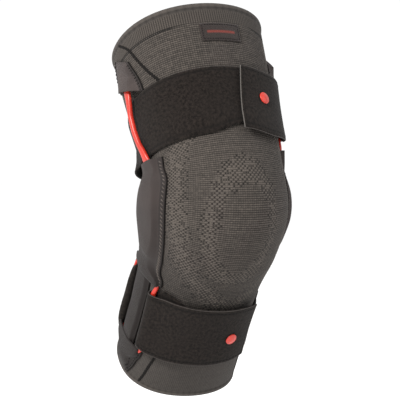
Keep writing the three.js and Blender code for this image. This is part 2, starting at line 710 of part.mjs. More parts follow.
function smoothRoute(stops) {
  const route = [stops[0]];
  for (let i = 1; i < stops.length; i += 1) {
    const from = stops[i - 1];
    const to = stops[i];
    const climb = Math.abs(to.out - from.out) > 0.1 ? 3 : 1;
    const count = Math.max(climb, Math.ceil(Math.abs(to.degrees - from.degrees) / STEP_DEGREES));
    range(count).forEach((k) => {
      const t = (k + 1) / count;
      const soft = t * t * (3 - 2 * t);
      const slant = (from.slant ?? 0) * (1 - t) + (to.slant ?? 0) * t;
      const flare = (from.flare ?? 0) * (1 - soft) + (to.flare ?? 0) * soft;
      const degrees = from.degrees * (1 - t) + to.degrees * t;
      route.push({ degrees, out: from.out * (1 - soft) + to.out * soft, slant, flare });
    });
  }
  return route;
}

// Half turn round a bar, from under it, behind it, to over it. The bar lies `forward`
// of the pocket's middle, and the strap's middle clears it by `reach` and `rise`.
function wrapRound(strap, hand, forward, out, reach, rise) {
  return range(9).map((i) => {
    const turn = (i - 4) * 22.5 * RADIAN;
    const degrees = beside(strap, hand, forward - reach * Math.cos(turn));
    return { degrees, out: out + rise * Math.sin(turn) };
  });
}

const turned = (stops) => stops.map((stop) => ({ ...stop, degrees: stop.degrees + 360 }));

function upperRoute() {
  const top = BRIDGE_OUT + BRIDGE_RISE + BRIDGE_THICKNESS / 2 + CLOTH_GAP + STRAP_THICKNESS / 2;
  const middle = (top + STRAP_OUT) / 2;
  const reach = BRIDGE_WIDTH / 2 + RIGHT.bow / 2 + 2 * CLOTH_GAP + STRAP_THICKNESS / 2;
  const forward = BRIDGE_FORWARD - RIGHT.bow / 2;
  const fold = wrapRound(upperStrap, RIGHT.hand, forward, middle, reach, top - middle);
  const start = beside(upperStrap, RIGHT.hand, forward - reach - 7);
  return [
    ...smoothRoute([
      { degrees: start, out: STRAP_OUT },
      { degrees: 200, out: STRAP_OUT },
      { degrees: 360 - SIDE_ANGLE - 22, out: STRAP_OUT, flare: STRAP_FLARE },
      { degrees: 360 - SIDE_ANGLE - 10, out: STRAP_OUT, flare: STRAP_FLARE * 0.5 },
      { degrees: 360 - SIDE_ANGLE + 8, out: STRAP_OUT },
      { degrees: 360, out: STRAP_OUT },
      { degrees: fold[0].degrees + 360, out: STRAP_OUT },
    ]),
    ...turned(fold.slice(1)),
    ...smoothRoute([
      { degrees: fold[8].degrees + 360, out: top },
      { degrees: fold[8].degrees + 360 - TAB_DROP, out: TAB_OUT },
      { degrees: 360 + UPPER_TAB_END, out: TAB_OUT, slant: UPPER_TAB_SLANT },
    ]).slice(1),
  ];
}

function lowerRoute() {
  const top = LOOP_OUT + LOOP_THICKNESS / 2 + CLOTH_GAP + STRAP_THICKNESS / 2;
  const reach = LOOP_THICKNESS / 2 + CLOTH_GAP + STRAP_THICKNESS / 2;
  const middle = (top + STRAP_OUT) / 2;
  const fold = wrapRound(lowerStrap, LEFT.hand, LOOP_REACH, middle, reach, top - middle);
  const onMargin = SLEEVE_OUT + POCKET_WALL + CLOTH_GAP + STRAP_THICKNESS / 2;
  const stop = (forward, out) => ({ degrees: beside(lowerStrap, RIGHT.hand, forward), out });
  const slimTop = SLIM_OUT + SLIM_THICKNESS / 2 + CLOTH_GAP + STRAP_THICKNESS / 2;
  const slimReach = SLIM_THICKNESS / 2 + CLOTH_GAP + STRAP_THICKNESS / 2;
  const slimMiddle = (slimTop + STRAP_OUT) / 2;
  const slimRise = slimTop - slimMiddle;
  const start = wrapRound(lowerStrap, LEFT.hand, -SLIM_REACH, slimMiddle, -slimReach, slimRise).reverse();
  return [
    ...turned(smoothRoute([
      { degrees: start[0].degrees - SEWN_END, out: SEWN_OUT },
      { degrees: start[0].degrees - SEWN_END * 0.35, out: SEWN_OUT },
      start[0],
    ])),
    ...turned(start.slice(1, -1)),
    ...smoothRoute([
      { degrees: start[8].degrees + 360, out: STRAP_OUT },
      stop(-STRIP_EDGE - 6, STRAP_OUT),
      stop(-STRIP_EDGE - 1, onMargin),
      stop(-ARM_COVER - POCKET_BEVEL - 1, onMargin + 0.3),
      stop(-ARM_COVER - 1, OVER_POCKET),
      stop(ARM_COVER + 1, OVER_POCKET),
      stop(ARM_COVER + POCKET_BEVEL + 1.5, onMargin + 0.3),
      stop(STRIP_EDGE + 1.5, onMargin),
      stop(STRIP_EDGE + 7, STRAP_OUT),
      { degrees: 0, out: STRAP_OUT },
      { degrees: fold[0].degrees, out: STRAP_OUT },
    ]),
    ...fold.slice(1),
    ...smoothRoute([
      { degrees: fold[8].degrees, out: top },
      { degrees: fold[8].degrees + TAB_DROP, out: TAB_OUT },
      { degrees: LOWER_TAB_END, out: TAB_OUT },
    ]).slice(1),
  ];
}

// Band of cloth along a route, with its width along the leg
function band(name, material, strap, route, width, thickness) {
  const columns = [-1, 0, 1];
  const middle = route.map((stop) => columns.map((share) => {
    const degrees = stop.degrees + (stop.slant ?? 0) * share;
    const out = stop.out + (stop.flare ?? 0) * Math.max(-share, 0);
    return place(level(strap, stop.degrees) + (share * width) / 2, degrees, out);
  }));
  const last = route.length - 1;
  const face = (lift) => middle.map((row, i) => row.map((point, k) => {
    const run = middle[Math.min(i + 1, last)][k].clone().sub(middle[Math.max(i - 1, 0)][k]);
    const across = row[columns.length - 1].clone().sub(row[0]);
    return point.clone().addScaledVector(run.cross(across).normalize(), lift);
  }));
  return sheet(name, material, face(thickness / 2), face(-thickness / 2));
}

function strapBand(name, strap, route) {
  return band(name, strapPlush(), strap, route, STRAP_WIDTH, STRAP_THICKNESS);
}

// Hook patch under a tab, back from the tab's end towards `away`
function hookPatch(name, strap, end, slant, away) {
  const turn = degreesFor(HOOK_LENGTH, level(strap, end), end, HOOK_OUT);
  const margin = degreesFor(HOOK_MARGIN, level(strap, end), end, HOOK_OUT);
  const route = smoothRoute([
    { degrees: end + away * margin, out: HOOK_OUT, slant },
    { degrees: end + away * turn, out: HOOK_OUT },
  ]);
  return band(name, hookCloth(), strap, route, STRAP_WIDTH - 2 * HOOK_MARGIN, HOOK_THICKNESS);
}

// Low round button on a tab
function button(name, strap, end, away) {
  const radius = BUTTON_DIAMETER / 2;
  const profile = [
    [0, 0],
    [radius, 0],
    [radius, BUTTON_HEIGHT * 0.4],
    [radius * 0.82, BUTTON_HEIGHT * 0.85],
    [radius * 0.4, BUTTON_HEIGHT],
    [0, BUTTON_HEIGHT],
  ];
  const geometry = new THREE.LatheGeometry(profile.map(([x, y]) => new THREE.Vector2(x, y)), 16);
  const mesh = new THREE.Mesh(geometry, redPlastic());
  const degrees = end + away * degreesFor(BUTTON_INSET, strap.at, end, TAB_OUT);
  const along = level(strap, degrees);
  mesh.name = name;
  mesh.position.copy(place(along, degrees, TAB_OUT + STRAP_THICKNESS / 2 + BUTTON_GAP));
  mesh.quaternion.setFromUnitVectors(new THREE.Vector3(0, 1, 0), legNormal(along, degrees));
  return mesh;
}

function labelPatch() {
  const at = TOP - LABEL_DROP;
  const turn = degreesFor(LABEL_WIDTH, at, 0, SLEEVE_OUT);
  const face = (out) => [0.5, 0, -0.5].map((rise) => {
    return [-0.5, -0.25, 0, 0.25, 0.5].map((share) => place(at + rise * LABEL_HEIGHT, share * turn, out));
  });
  return sheet("label_patch", labelCloth(), face(SLEEVE_OUT + LABEL_THICKNESS), face(SLEEVE_OUT));
}

const brace = new THREE.Group();
brace.add(kneeSleeve());
[LEFT, RIGHT].forEach((side) => brace.add(pocketCap(side), pocket(side), hingeStay(side)));
brace.add(strapBand("upper_strap", upperStrap, upperRoute()));
brace.add(strapBand("lower_strap", lowerStrap, lowerRoute()));
brace.add(hookPatch("upper_hook_patch", upperStrap, UPPER_TAB_END, UPPER_TAB_SLANT, 1));
brace.add(hookPatch("lower_hook_patch", lowerStrap, LOWER_TAB_END, 0, -1));
brace.add(button("upper_button", upperStrap, UPPER_TAB_END, 1));
brace.add(button("lower_button", lowerStrap, LOWER_TAB_END, -1));
brace.add(labelPatch());

export default brace;
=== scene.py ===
# Looks of a hinged knee brace worn on a slightly bent knee. Lengths are in millimetres until
# a mesh is made. Every piece lies on the leg that the solids follow: `along` is measured up
# the leg's centre line from the knee, `degrees` round the leg (0 in front, 90 on the right
# side, -90 on the left) and `out` from the sleeve's inner face.

import math

import bpy
import numpy as np
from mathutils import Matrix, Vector


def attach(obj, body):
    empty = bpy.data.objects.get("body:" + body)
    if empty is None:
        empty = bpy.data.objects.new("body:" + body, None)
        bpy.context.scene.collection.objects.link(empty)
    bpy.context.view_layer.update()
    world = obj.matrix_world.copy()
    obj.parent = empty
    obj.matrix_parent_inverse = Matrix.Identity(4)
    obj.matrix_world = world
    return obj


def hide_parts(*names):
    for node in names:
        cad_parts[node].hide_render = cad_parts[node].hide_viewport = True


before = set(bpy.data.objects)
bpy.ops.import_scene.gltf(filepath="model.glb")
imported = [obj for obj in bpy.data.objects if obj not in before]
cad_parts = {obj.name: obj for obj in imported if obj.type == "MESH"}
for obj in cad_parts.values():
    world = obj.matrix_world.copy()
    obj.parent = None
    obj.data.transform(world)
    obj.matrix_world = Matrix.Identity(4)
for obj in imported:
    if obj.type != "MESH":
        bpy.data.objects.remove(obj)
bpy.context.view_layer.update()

MM = 0.001

# Leg inside the sleeve
LENGTH_ABOVE_KNEE = 149.0
LENGTH_BELOW_KNEE = 165.5
KNEE_WIDTH = 114.0
KNEE_DEPTH = 114.0
THIGH_LEAN = 27.5
SHANK_LEAN = 30.0
BEND_LENGTH = 80.0
BEND_RISE = 8.0
SQUARENESS = 0.0245
KNEECAP_BULGE = 6.0
KNEECAP_RISE = 5.0
KNEECAP_REACH = 30.0
KNEECAP_SPREAD = 31.5
SECTIONS = np.array(
    [  # at, side, front, back
        (-1.0, 0.86, 0.7, 1.05),
        (-0.785, 0.85, 0.78, 0.99),
        (-0.574, 0.827, 0.802, 0.93),
        (-0.363, 0.843, 0.861, 0.884),
        (-0.169, 0.936, 0.981, 0.884),
        (0, 1, 1.079, 0.923),
        (0.201, 0.938, 0.965, 0.895),
        (0.416, 0.968, 0.958, 0.981),
        (0.671, 1.033, 1.025, 1.077),
        (1.0, 1.083, 1.07, 1.126),
    ]
)
SIDE, FRONT, BACK = 1, 2, 3
TOP = LENGTH_ABOVE_KNEE
BOTTOM = -LENGTH_BELOW_KNEE

# Layers
SLEEVE_WALL = 2.2
CLOTH_GAP = 0.5
SLEEVE_OUT = SLEEVE_WALL + CLOTH_GAP
SIDE_ANGLE = 92.0
POCKET_WALL = 1.2
POCKET_WIDTH = 50.0
POCKET_BEVEL = 4.5
POCKET_INSET = 4.5
SHOULDER_SHARE = 0.75
CAP_SHARE = 0.74
ARM_WIDTH = 16.0
ARM_THICKNESS = 2.6
HINGE_LENGTH = 60.0
HINGE_SHOWN = 24.0  # the cloth hides the rounded rim of its 32 mm
HINGE_THICKNESS = 4.4
HINGE_DROP = 9.0
HINGE_FORWARD = 3.5
HINGE_TOP = HINGE_LENGTH / 2 - HINGE_DROP + 1
BRIDGE_WIDTH = 4.8
BRIDGE_END = 6.9
BRIDGE_THICKNESS = 4.2
BRIDGE_CLOTH = BRIDGE_WIDTH + 1.5  # half width of the cloth over a bar's foot
ARM_LEAN = 0.7  # how far the arm beside a bar follows it forward
LEFT_BOW = 4.6
RIGHT_BOW = 1.6
BRIDGE_RISE = 1.3
FOOT_WIDTH = 9.1
FOOT_THICKNESS = 3.9
FOOT_RISE = 0.4
BAR_MARGIN = 1.2
LOOP_INSET = 3.5
LOOP_THICKNESS = 4.4
STRAP_WIDTH = 51.0
STRAP_THICKNESS = 2.0
WINDOW_BELOW = 5.0
WINDOW_ABOVE = 13.0
UPPER_TAB_END = 4.5
UPPER_TAB_SLANT = 3.5
LOWER_TAB_END = 37.0
SEWN_END = 26.0
TAB_DROP = 15.0
STRAP_FLARE = 7.0
HOOK_THICKNESS = 0.9
HOOK_LENGTH = 62.0
HOOK_MARGIN = 2.5
BUTTON_SHOWN = 10.0  # what the pile leaves of its 12 mm
BUTTON_HEIGHT = 2.2
BUTTON_INSET = 22.0
BUTTON_GAP = 0.3
LABEL_WIDTH = 35.0
LABEL_HEIGHT = 16.0
LABEL_THICKNESS = 0.8
LABEL_DROP = 27.0
LABEL_SEAM = 1.5

ARM_OUT = SLEEVE_OUT + ARM_THICKNESS / 2
HINGE_OUT = SLEEVE_OUT + HINGE_THICKNESS / 2
STRAP_OUT = SLEEVE_OUT + STRAP_THICKNESS / 2
STRAP_TOP = SLEEVE_OUT + STRAP_THICKNESS + CLOTH_GAP
WIDE = {"reach": 26.0, "thickness": 4.4, "corner": 7.0, "out": STRAP_TOP + 2.2}
SLIM = {"reach": 22.5, "thickness": 2.4, "corner": 4.0, "out": STRAP_TOP + 1.2}
BRIDGE_OUT = STRAP_TOP + BRIDGE_THICKNESS / 2
HOOK_OUT = STRAP_TOP + HOOK_THICKNESS / 2
SEWN_OUT = STRAP_TOP + STRAP_THICKNESS / 2
TAB_OUT = HOOK_OUT + HOOK_THICKNESS / 2 + CLOTH_GAP + STRAP_THICKNESS / 2
POCKET_LEVEL = SLEEVE_OUT + ARM_THICKNESS
OVER_ARM = POCKET_LEVEL + CLOTH_GAP
OVER_HINGE = SLEEVE_OUT + HINGE_THICKNESS + CLOTH_GAP
FOOT_OUT = (ARM_OUT + BRIDGE_OUT) / 2 + FOOT_RISE
OVER_FOOT = FOOT_OUT + FOOT_THICKNESS / 2 + CLOTH_GAP
OVER_BAR = BRIDGE_OUT + BRIDGE_THICKNESS / 2 + CLOTH_GAP / 2
OVER_POCKET = OVER_ARM + POCKET_WALL + CLOTH_GAP + STRAP_THICKNESS / 2

UPPER = {"at": 0.4336 * LENGTH_ABOVE_KNEE, "front": 0.0, "back": 13.0, "right": 6.0}
LOWER = {"at": -0.6224 * LENGTH_BELOW_KNEE, "front": 6.4, "back": 2.6, "right": 0.0}

# The two sides: `bar` is how far the upper bar lies forward of the pocket's middle, `bow` its curve
# back, `lift` how far it stands out, `cap` the cap's shift forward, `mouth` the slant of the cap's
# lower edge and `open` how much higher that edge lies. A loop's `way` is 1 in front of the arm.
LEFT = {
    "name": "left",
    "hand": -1,
    "bar": 6.0,
    "bow": LEFT_BOW,
    "lift": 1.2,
    "cap": 0.0,
    "mouth": 0.45,
    "open": 3.5,
    "loops": [dict(WIDE, way=1), dict(SLIM, way=-1)],
}
RIGHT = {
    "name": "right",
    "hand": 1,
    "bar": 9.0,
    "bow": RIGHT_BOW,
    "lift": 0.0,
    "cap": 8.0,
    "mouth": 0.05,
    "open": 0.0,
    "loops": [dict(WIDE, way=-1)],
}


def follow(column, at):
    """Smooth curve through one column of the leg's sections."""
    rows = SECTIONS[:, 0]
    values = SECTIONS[:, column]
    count = np.arange(len(rows))
    low = np.maximum(count - 1, 0)
    high = np.minimum(count + 1, len(rows) - 1)
    slopes = (values[high] - values[low]) / (rows[high] - rows[low])
    at = np.clip(at, rows[0], rows[-1])
    i = np.clip(np.searchsorted(rows, at, side="right") - 1, 0, len(rows) - 2)
    span = rows[i + 1] - rows[i]
    t = (at - rows[i]) / span
    rise = values[i + 1] - values[i]
    start = (slopes[i] * span - rise) * (1 - t)
    end = (slopes[i + 1] * span - rise) * t
    return values[i] + rise * t + t * (1 - t) * (start - end)


def raw_centre(along):
    """The centre line before it is moved to the knee, and how it leans."""
    radius = BEND_LENGTH / math.radians(THIGH_LEAN + SHANK_LEAN)
    from_bend = along - BEND_RISE
    in_bend = np.clip(from_bend, -BEND_LENGTH / 2, BEND_LENGTH / 2)
    lean = -math.radians(SHANK_LEAN) + (in_bend + BEND_LENGTH / 2) / radius
    beyond = from_bend - in_bend
    y = -radius * np.cos(lean) + beyond * np.sin(lean)
    z = radius * np.sin(lean) + beyond * np.cos(lean)
    return y, z, lean


KNEE_Y, KNEE_Z, _ = raw_centre(np.array(0.0))


def leg_point(along, degrees):
    """Point on the sleeve's inner face."""
    angle = np.radians(degrees)
    above = along / LENGTH_ABOVE_KNEE
    below = along / LENGTH_BELOW_KNEE
    at = np.where(along > 0, above, below)
    y, z, lean = raw_centre(along)
    square = 1 + SQUARENESS * np.sin(2 * angle) ** 2
    half = np.where(np.cos(angle) > 0, follow(FRONT, at), follow(BACK, at))
    side = follow(SIDE, at) * KNEE_WIDTH / 2
    round_leg = np.arctan2(np.sin(angle), np.cos(angle)) / math.radians(KNEECAP_SPREAD)
    rise = (along - KNEECAP_RISE) / KNEECAP_REACH
    kneecap = KNEECAP_BULGE * np.exp(-(rise**2) - round_leg**2)
    forward = half * KNEE_DEPTH / 2 * np.cos(angle) * square + kneecap
    return np.stack(
        [
            side * np.sin(angle) * square,
            y - KNEE_Y - forward * np.cos(lean),
            z - KNEE_Z + forward * np.sin(lean),
        ],
        axis=-1,
    )


def soft(share):
    """The share from 0 to 1, with a soft start and end."""
    return share * share * (3 - 2 * share)


def unit(vectors):
    return vectors / np.linalg.norm(vectors, axis=-1, keepdims=True)


def leg_normal(along, degrees):
    step = 0.05
    up = leg_point(along + step, degrees) - leg_point(along - step, degrees)
    around = leg_point(along, degrees + step) - leg_point(along, degrees - step)
    return unit(np.cross(around, up))


def place(along, degrees, out):
    """Point `out` from the sleeve's inner face."""
    along, degrees, out = np.broadcast_arrays(
        np.asarray(along, float), np.asarray(degrees, float), np.asarray(out, float)
    )
    return leg_point(along, degrees) + leg_normal(along, degrees) * out[..., None]


def degrees_for(distance, along, degrees, out):
    """Degrees round the leg that a distance covers."""
    half = 0.5
    ahead = place(along, np.asarray(degrees) + half, out)
    behind = place(along, np.asarray(degrees) - half, out)
    return distance * 2 * half / np.linalg.norm(ahead - behind, axis=-1)


def angle_beside(hand, along, forward):
    """Angle of a point `forward` of a pocket's middle."""
    along = np.asarray(along, float)
    return hand * (SIDE_ANGLE - degrees_for(forward, along, hand * SIDE_ANGLE, POCKET_LEVEL))


def place_beside(hand, along, forward, out):
    """Point given by its distance forward of a pocket's middle."""
    return place(along, angle_beside(hand, along, forward), out)


def level(strap, degrees):
    """Where a strap's middle lies at an angle round the leg."""
    angle = np.radians(degrees)
    ahead = np.cos(angle)
    to_right = np.maximum(np.sin(angle), 0)
    tilt = np.where(ahead > 0, strap["front"], strap["back"]) * ahead
    return strap["at"] + tilt + strap["right"] * to_right**2


def beside(strap, hand, forward):
    """Angle at which a strap passes a point forward of a pocket's middle."""
    along = level(strap, hand * SIDE_ANGLE)
    return float(angle_beside(hand, along, forward))


def window_for(strap, degrees):
    """Levels of the lower and upper end of the opening that a strap passes."""
    middle = float(level(strap, degrees))
    return middle - STRAP_WIDTH / 2 - WINDOW_BELOW, middle + STRAP_WIDTH / 2 + WINDOW_ABOVE


def upper_window(side):
    return window_for(UPPER, side["hand"] * SIDE_ANGLE)


def lower_window(side):
    loop = side["loops"][0]
    return window_for(LOWER, beside(LOWER, side["hand"], loop["way"] * loop["reach"]))


def cap_top(side):
    high = upper_window(side)[1]
    return high + (TOP - high) * CAP_SHARE


def shoulder_level(side):
    low = upper_window(side)[0]
    return low + (HINGE_TOP - low) * SHOULDER_SHARE


def foot_level(side, share):
    """Level at a share of the way from the lower bars down to the pocket's end."""
    end = lower_window(side)[0] - LOOP_INSET
    return end + (BOTTOM + POCKET_INSET - end) * share


# Meshes

EDGE_ROUND = 0.8
STITCH_SWELL = np.array([0.45, 1.0, 1.0, 0.45])
STITCH_RISE = np.array([-0.2, 0.12, 0.12, -0.2])
STITCH_SIDES = 6


def grid_faces(rows, columns, closed=False, first=0):
    """Quads of a grid whose rows go up and whose columns go round to the right."""
    i = np.arange(rows - 1)[:, None]
    k = np.arange(columns if closed else columns - 1)[None, :]
    after = (k + 1) % columns
    quads = [i * columns + k, i * columns + after, (i + 1) * columns + after, (i + 1) * columns + k]
    return np.stack([first + q for q in quads], axis=-1).reshape(-1, 4)


def added(name, data):
    """New object of the scene."""
    made = bpy.data.objects.new(name, data)
    bpy.context.scene.collection.objects.link(made)
    return made


def full_turn(sides):
    """Angles of the corners round a tube."""
    return np.linspace(0, 2 * np.pi, sides, endpoint=False)


def on_cloth(x, y):
    """Places on the flat cloth, across and along it."""
    return np.stack([x, y, np.zeros_like(x)], axis=-1)


def piece(name, points, faces, material, values=None, cloth=None):
    """Mesh of these points in millimetres, with a number for each point under each name in `values`."""
    mesh = bpy.data.meshes.new(name)
    flat = np.asarray(points, float).reshape(-1, 3)
    mesh.from_pydata((flat * MM).tolist(), [], [list(face) for face in faces])
    mesh.polygons.foreach_set("use_smooth", [True] * len(mesh.polygons))
    for key, numbers in (values or {}).items():
        layer = mesh.attributes.new(key, "FLOAT", "POINT")
        layer.data.foreach_set("value", np.asarray(numbers, np.float32).ravel())
    if cloth is not None:
        layer = mesh.attributes.new("cloth", "FLOAT_VECTOR", "POINT")
        layer.data.foreach_set("vector", np.asarray(cloth, np.float32).ravel())
    mesh.materials.append(material)
    made = added(name, mesh)
    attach(made, "root")
    return made


def facing_out(points, faces):
    """The faces, turned over where they bound a negative volume."""
    flat = np.asarray(points, float).reshape(-1, 3)
    first, second, third = (flat[faces[:, i]] for i in range(3))
    last = flat[faces[:, -1]]
    volume = np.einsum("ij,ij->i", first, np.cross(second, third)).sum()
    volume += np.einsum("ij,ij->i", first, np.cross(third, last)).sum()
    return faces if volume > 0 else faces[:, ::-1]


def cloth_sheet(name, outer, inner, material, values=None, cloth=None):
    """Closed sheet between two grids, with rounded long edges."""
    rows, columns = outer.shape[:2]
    half = np.linalg.norm(outer - inner, axis=-1, keepdims=True) / 2

    def edge(k, inside):
        away = unit(outer[:, k] - outer[:, inside])
        return ((outer[:, k] + inner[:, k]) / 2 + away * half[:, k] * EDGE_ROUND)[:, None]

    ring = np.concatenate([outer, edge(-1, -2), inner[:, ::-1], edge(0, 1)], axis=1)
    width = ring.shape[1]
    faces = [grid_faces(rows, width, closed=True)]
    k = np.arange(columns - 1)
    for first, flip in ((0, False), ((rows - 1) * width, True)):
        cap = np.stack([k, k + 1, 2 * columns - 1 - k, 2 * columns - k], axis=-1) + first
        faces.append(cap if flip else cap[:, ::-1])
    last = (rows - 1) * width
    for a, b in ((0, 2 * columns), (columns - 1, columns)):
        c = b + 1
        faces.append(np.array([[a, b, c, c], [last + a, last + c, last + b, last + b]]))
    faces = facing_out(ring, np.concatenate(faces))
    polygons = [list(dict.fromkeys(face)) for face in faces.tolist()]

    def wrapped(grid):
        return np.concatenate([grid, grid[:, -1:], grid[:, ::-1], grid[:, :1]], axis=1)

    values = {key: wrapped(grid) for key, grid in (values or {}).items()}
    cloth = None if cloth is None else wrapped(cloth)
    return piece(name, ring, polygons, material, values, cloth)


def tube(points, radius, sides=8, squash=1.0, normals=None):
    """Rings round a line of points, as one grid."""
    points = np.asarray(points, float)
    run = unit(np.gradient(points, axis=0))
    up = normals if normals is not None else np.tile([0.0, 0.0, 1.0], (len(points), 1))
    across = unit(np.cross(run, up))
    up = unit(np.cross(across, run))
    turn = full_turn(sides)
    ring = across[:, None] * np.cos(turn)[None, :, None]
    ring = ring + up[:, None] * np.sin(turn)[None, :, None] * squash
    return points[:, None] + ring * np.asarray(radius).reshape(-1, 1, 1)


def tube_faces(rows, sides, first=0):
    """Faces round a tube and over its ends."""
    faces = grid_faces(rows, sides, closed=True, first=first).tolist()
    faces.append([first + k for k in range(sides)][::-1])
    faces.append([first + (rows - 1) * sides + k for k in range(sides)])
    return faces


def tubes(name, grids, material):
    """One mesh of several tubes."""
    faces = []
    count = 0
    for grid in grids:
        rows, sides = grid.shape[:2]
        faces += tube_faces(rows, sides, count)
        count += rows * sides
    points = np.concatenate([grid.reshape(-1, 3) for grid in grids])
    return piece(name, points, faces, material)


def cords(name, lines, radius, material, sides=8, squash=1.0):
    """Cords along lines of points, each given with the cloth's normals there."""
    grids = [tube(points, radius, sides, squash, normals) for points, normals in lines]
    return tubes(name, grids, material)


def stitch_runs(points, normals, length, gap):
    """Short lines for stitches along a line of points."""
    steps = np.linalg.norm(np.diff(points, axis=0), axis=1)
    at = np.concatenate([[0], np.cumsum(steps)])
    starts = np.arange(gap / 2, at[-1] - length, length + gap)
    shares = np.array([0.0, 0.25, 0.75, 1.0])
    where = starts[:, None] + shares * length

    def read(grid):
        return np.stack([np.interp(where, at, grid[:, axis]) for axis in range(3)], axis=-1)

    return read(points), unit(read(normals))


def stitches(name, lines, material, slot, radius, length, gap):
    """Thread stitches along lines of points."""
    grids = []
    for points, normals in lines:
        runs, ups = stitch_runs(points, normals, length, gap)
        for run, up in zip(runs, ups):
            bent = run + up * (STITCH_RISE[:, None] * radius * 2)
            grids.append(tube(bent, radius * STITCH_SWELL, STITCH_SIDES, 0.8, up))
    return tubes(name, grids, material)


def leg_line(along, degrees, out):
    """Points on a line over the cloth and the normals there."""
    along, degrees = np.broadcast_arrays(np.asarray(along, float), np.asarray(degrees, float))
    return place(along, degrees, out), leg_normal(along, degrees)


def line_beside(side, along, forward, out):
    """The same for a line given by its distance forward of a pocket's middle."""
    return leg_line(along, angle_beside(side["hand"], along, forward), out)


def filled_rows(table, along, rounds):
    """A table's rows at these levels, with their corners rounded."""
    rows = np.stack([np.interp(along, table[:, 0], column) for column in table.T], axis=-1)
    for _ in range(rounds):
        rows[1:-1, 1:] = (rows[:-2, 1:] + 2 * rows[1:-1, 1:] + rows[2:, 1:]) / 4
    return rows


def ridge(distance, width):
    """1 on a line, falling off to both sides."""
    return np.exp(-((distance / width) ** 2))


def dense(table, step=1.2):
    """Points of a short table of (along, degrees), filled up along smooth stretches."""
    table = np.asarray(table, float)
    reach = np.hypot(np.diff(table[:, 0]), np.diff(table[:, 1]))
    at = np.concatenate([[0], np.cumsum(reach)])
    where = np.linspace(0, at[-1], max(3, int(at[-1] / step)))
    slopes = np.gradient(table, at, axis=0)
    i = np.clip(np.searchsorted(at, where, side="right") - 1, 0, len(at) - 2)
    span = (at[i + 1] - at[i])[:, None]
    t = (where - at[i])[:, None] / span
    a, b = table[i], table[i + 1]
    return (
        (2 * t**3 - 3 * t**2 + 1) * a
        + (t**3 - 2 * t**2 + t) * slopes[i] * span
        + (3 * t**2 - 2 * t**3) * b
        + (t**3 - t**2) * slopes[i + 1] * span
    )


# Materials

DOT_YARN = "0c0b0a"


def colour(hex_code):
    """A colour as the shader takes it."""
    parts = [int(hex_code[i : i + 2], 16) / 255 for i in (0, 2, 4)]
    linear = [c / 12.92 if c <= 0.04045 else ((c + 0.055) / 1.055) ** 2.4 for c in parts]
    return (*linear, 1.0)


class Nodes:
    """Short names for building a material's nodes."""

    def __init__(self, name, roughness, sheen=0.0, specular=0.3):
        self.material = bpy.data.materials.new(name)
        self.material.use_nodes = True
        self.tree = self.material.node_tree
        self.shader = self.tree.nodes["Principled BSDF"]
        self.shader.inputs["Roughness"].default_value = roughness
        self.shader.inputs["Sheen Weight"].default_value = sheen
        self.shader.inputs["Specular IOR Level"].default_value = specular

    def node(self, kind, **settings):
        made = self.tree.nodes.new(kind)
        for key, value in settings.items():
            setattr(made, key, value)
        return made

    def link(self, source, target):
        """Feeds a socket from another one, or with a constant."""
        if isinstance(source, (int, float, tuple)):
            target.default_value = source
        else:
            self.tree.links.new(source, target)

    def value(self, name):
        return self.node("ShaderNodeAttribute", attribute_name=name).outputs["Fac"]

    def cloth(self):
        return self.node("ShaderNodeAttribute", attribute_name="cloth").outputs["Vector"]

    def place(self):
        return self.node("ShaderNodeTexCoord").outputs["Object"]

    def noise(self, vector, scale, detail=2.0, rough=0.5):
        made = self.node("ShaderNodeTexNoise")
        made.inputs["Scale"].default_value = scale
        made.inputs["Detail"].default_value = detail
        made.inputs["Roughness"].default_value = rough
        self.link(vector, made.inputs["Vector"])
        return made.outputs["Fac"]

    def wave(self, vector, scale, axis, distortion=0.0):
        made = self.node("ShaderNodeTexWave", bands_direction=axis)
        made.inputs["Scale"].default_value = scale
        made.inputs["Distortion"].default_value = distortion
        self.link(vector, made.inputs["Vector"])
        return made.outputs["Fac"]

    def math(self, operation, first, second):
        made = self.node("ShaderNodeMath", operation=operation)
        self.link(first, made.inputs[0])
        self.link(second, made.inputs[1])
        return made.outputs[0]

    def spread(self, source, low, high, to_low=0.0, to_high=1.0):
        made = self.node("ShaderNodeMapRange")
        ends = {"Value": source, "From Min": low, "From Max": high, "To Min": to_low, "To Max": to_high}
        for key, given in ends.items():
            self.link(given, made.inputs[key])
        return made.outputs[0]

    def mix(self, share, first, second):
        made = self.node("ShaderNodeMix", data_type="RGBA")
        for i, given in ((0, share), (6, first), (7, second)):
            self.link(given, made.inputs[i])
        return made.outputs[2]

    def paint(self, source):
        self.link(source, self.shader.inputs["Base Color"])
        return self

    def bump(self, height, distance, strength=1.0):
        """Relief of `height`, as deep as `distance` in millimetres."""
        made = self.node("ShaderNodeBump")
        made.inputs["Strength"].default_value = strength
        made.inputs["Distance"].default_value = distance * MM
        self.link(height, made.inputs["Height"])
        self.link(made.outputs[0], self.shader.inputs["Normal"])
        return self


def knit_material(name, light, dark, deep, thread=1.1):
    """Knit: light yarn, with painted shade between the stitches and in creases mixed in together with a
    random tone of the stitches, and dark where a dot is knitted in (`dot`), which also paints shade into the
    sunk hem lines.
    """
    kit = Nodes(name, 0.92, sheen=0.05, specular=0.15)
    cloth = kit.cloth()
    fine = kit.noise(cloth, 1.6, 3.0)
    broad = kit.noise(cloth, 0.035, 2.0)
    yarn = kit.mix(kit.spread(fine, 0.3, 0.7), colour(light), colour(dark))
    yarn = kit.mix(kit.spread(broad, 0.35, 0.7, 0.0, 0.3), yarn, colour(dark))
    # painted shade between the stitches and in creases, with a random tone of single stitches
    yarn = kit.mix(kit.value("shade_and_tone"), yarn, colour(deep))
    kit.paint(kit.mix(kit.value("dot"), yarn, colour(DOT_YARN)))
    twist = kit.wave(cloth, thread, "DIAGONAL", 1.5)
    kit.bump(kit.math("ADD", kit.math("MULTIPLY", twist, 0.5), fine), 0.18, 0.5)
    return kit.material


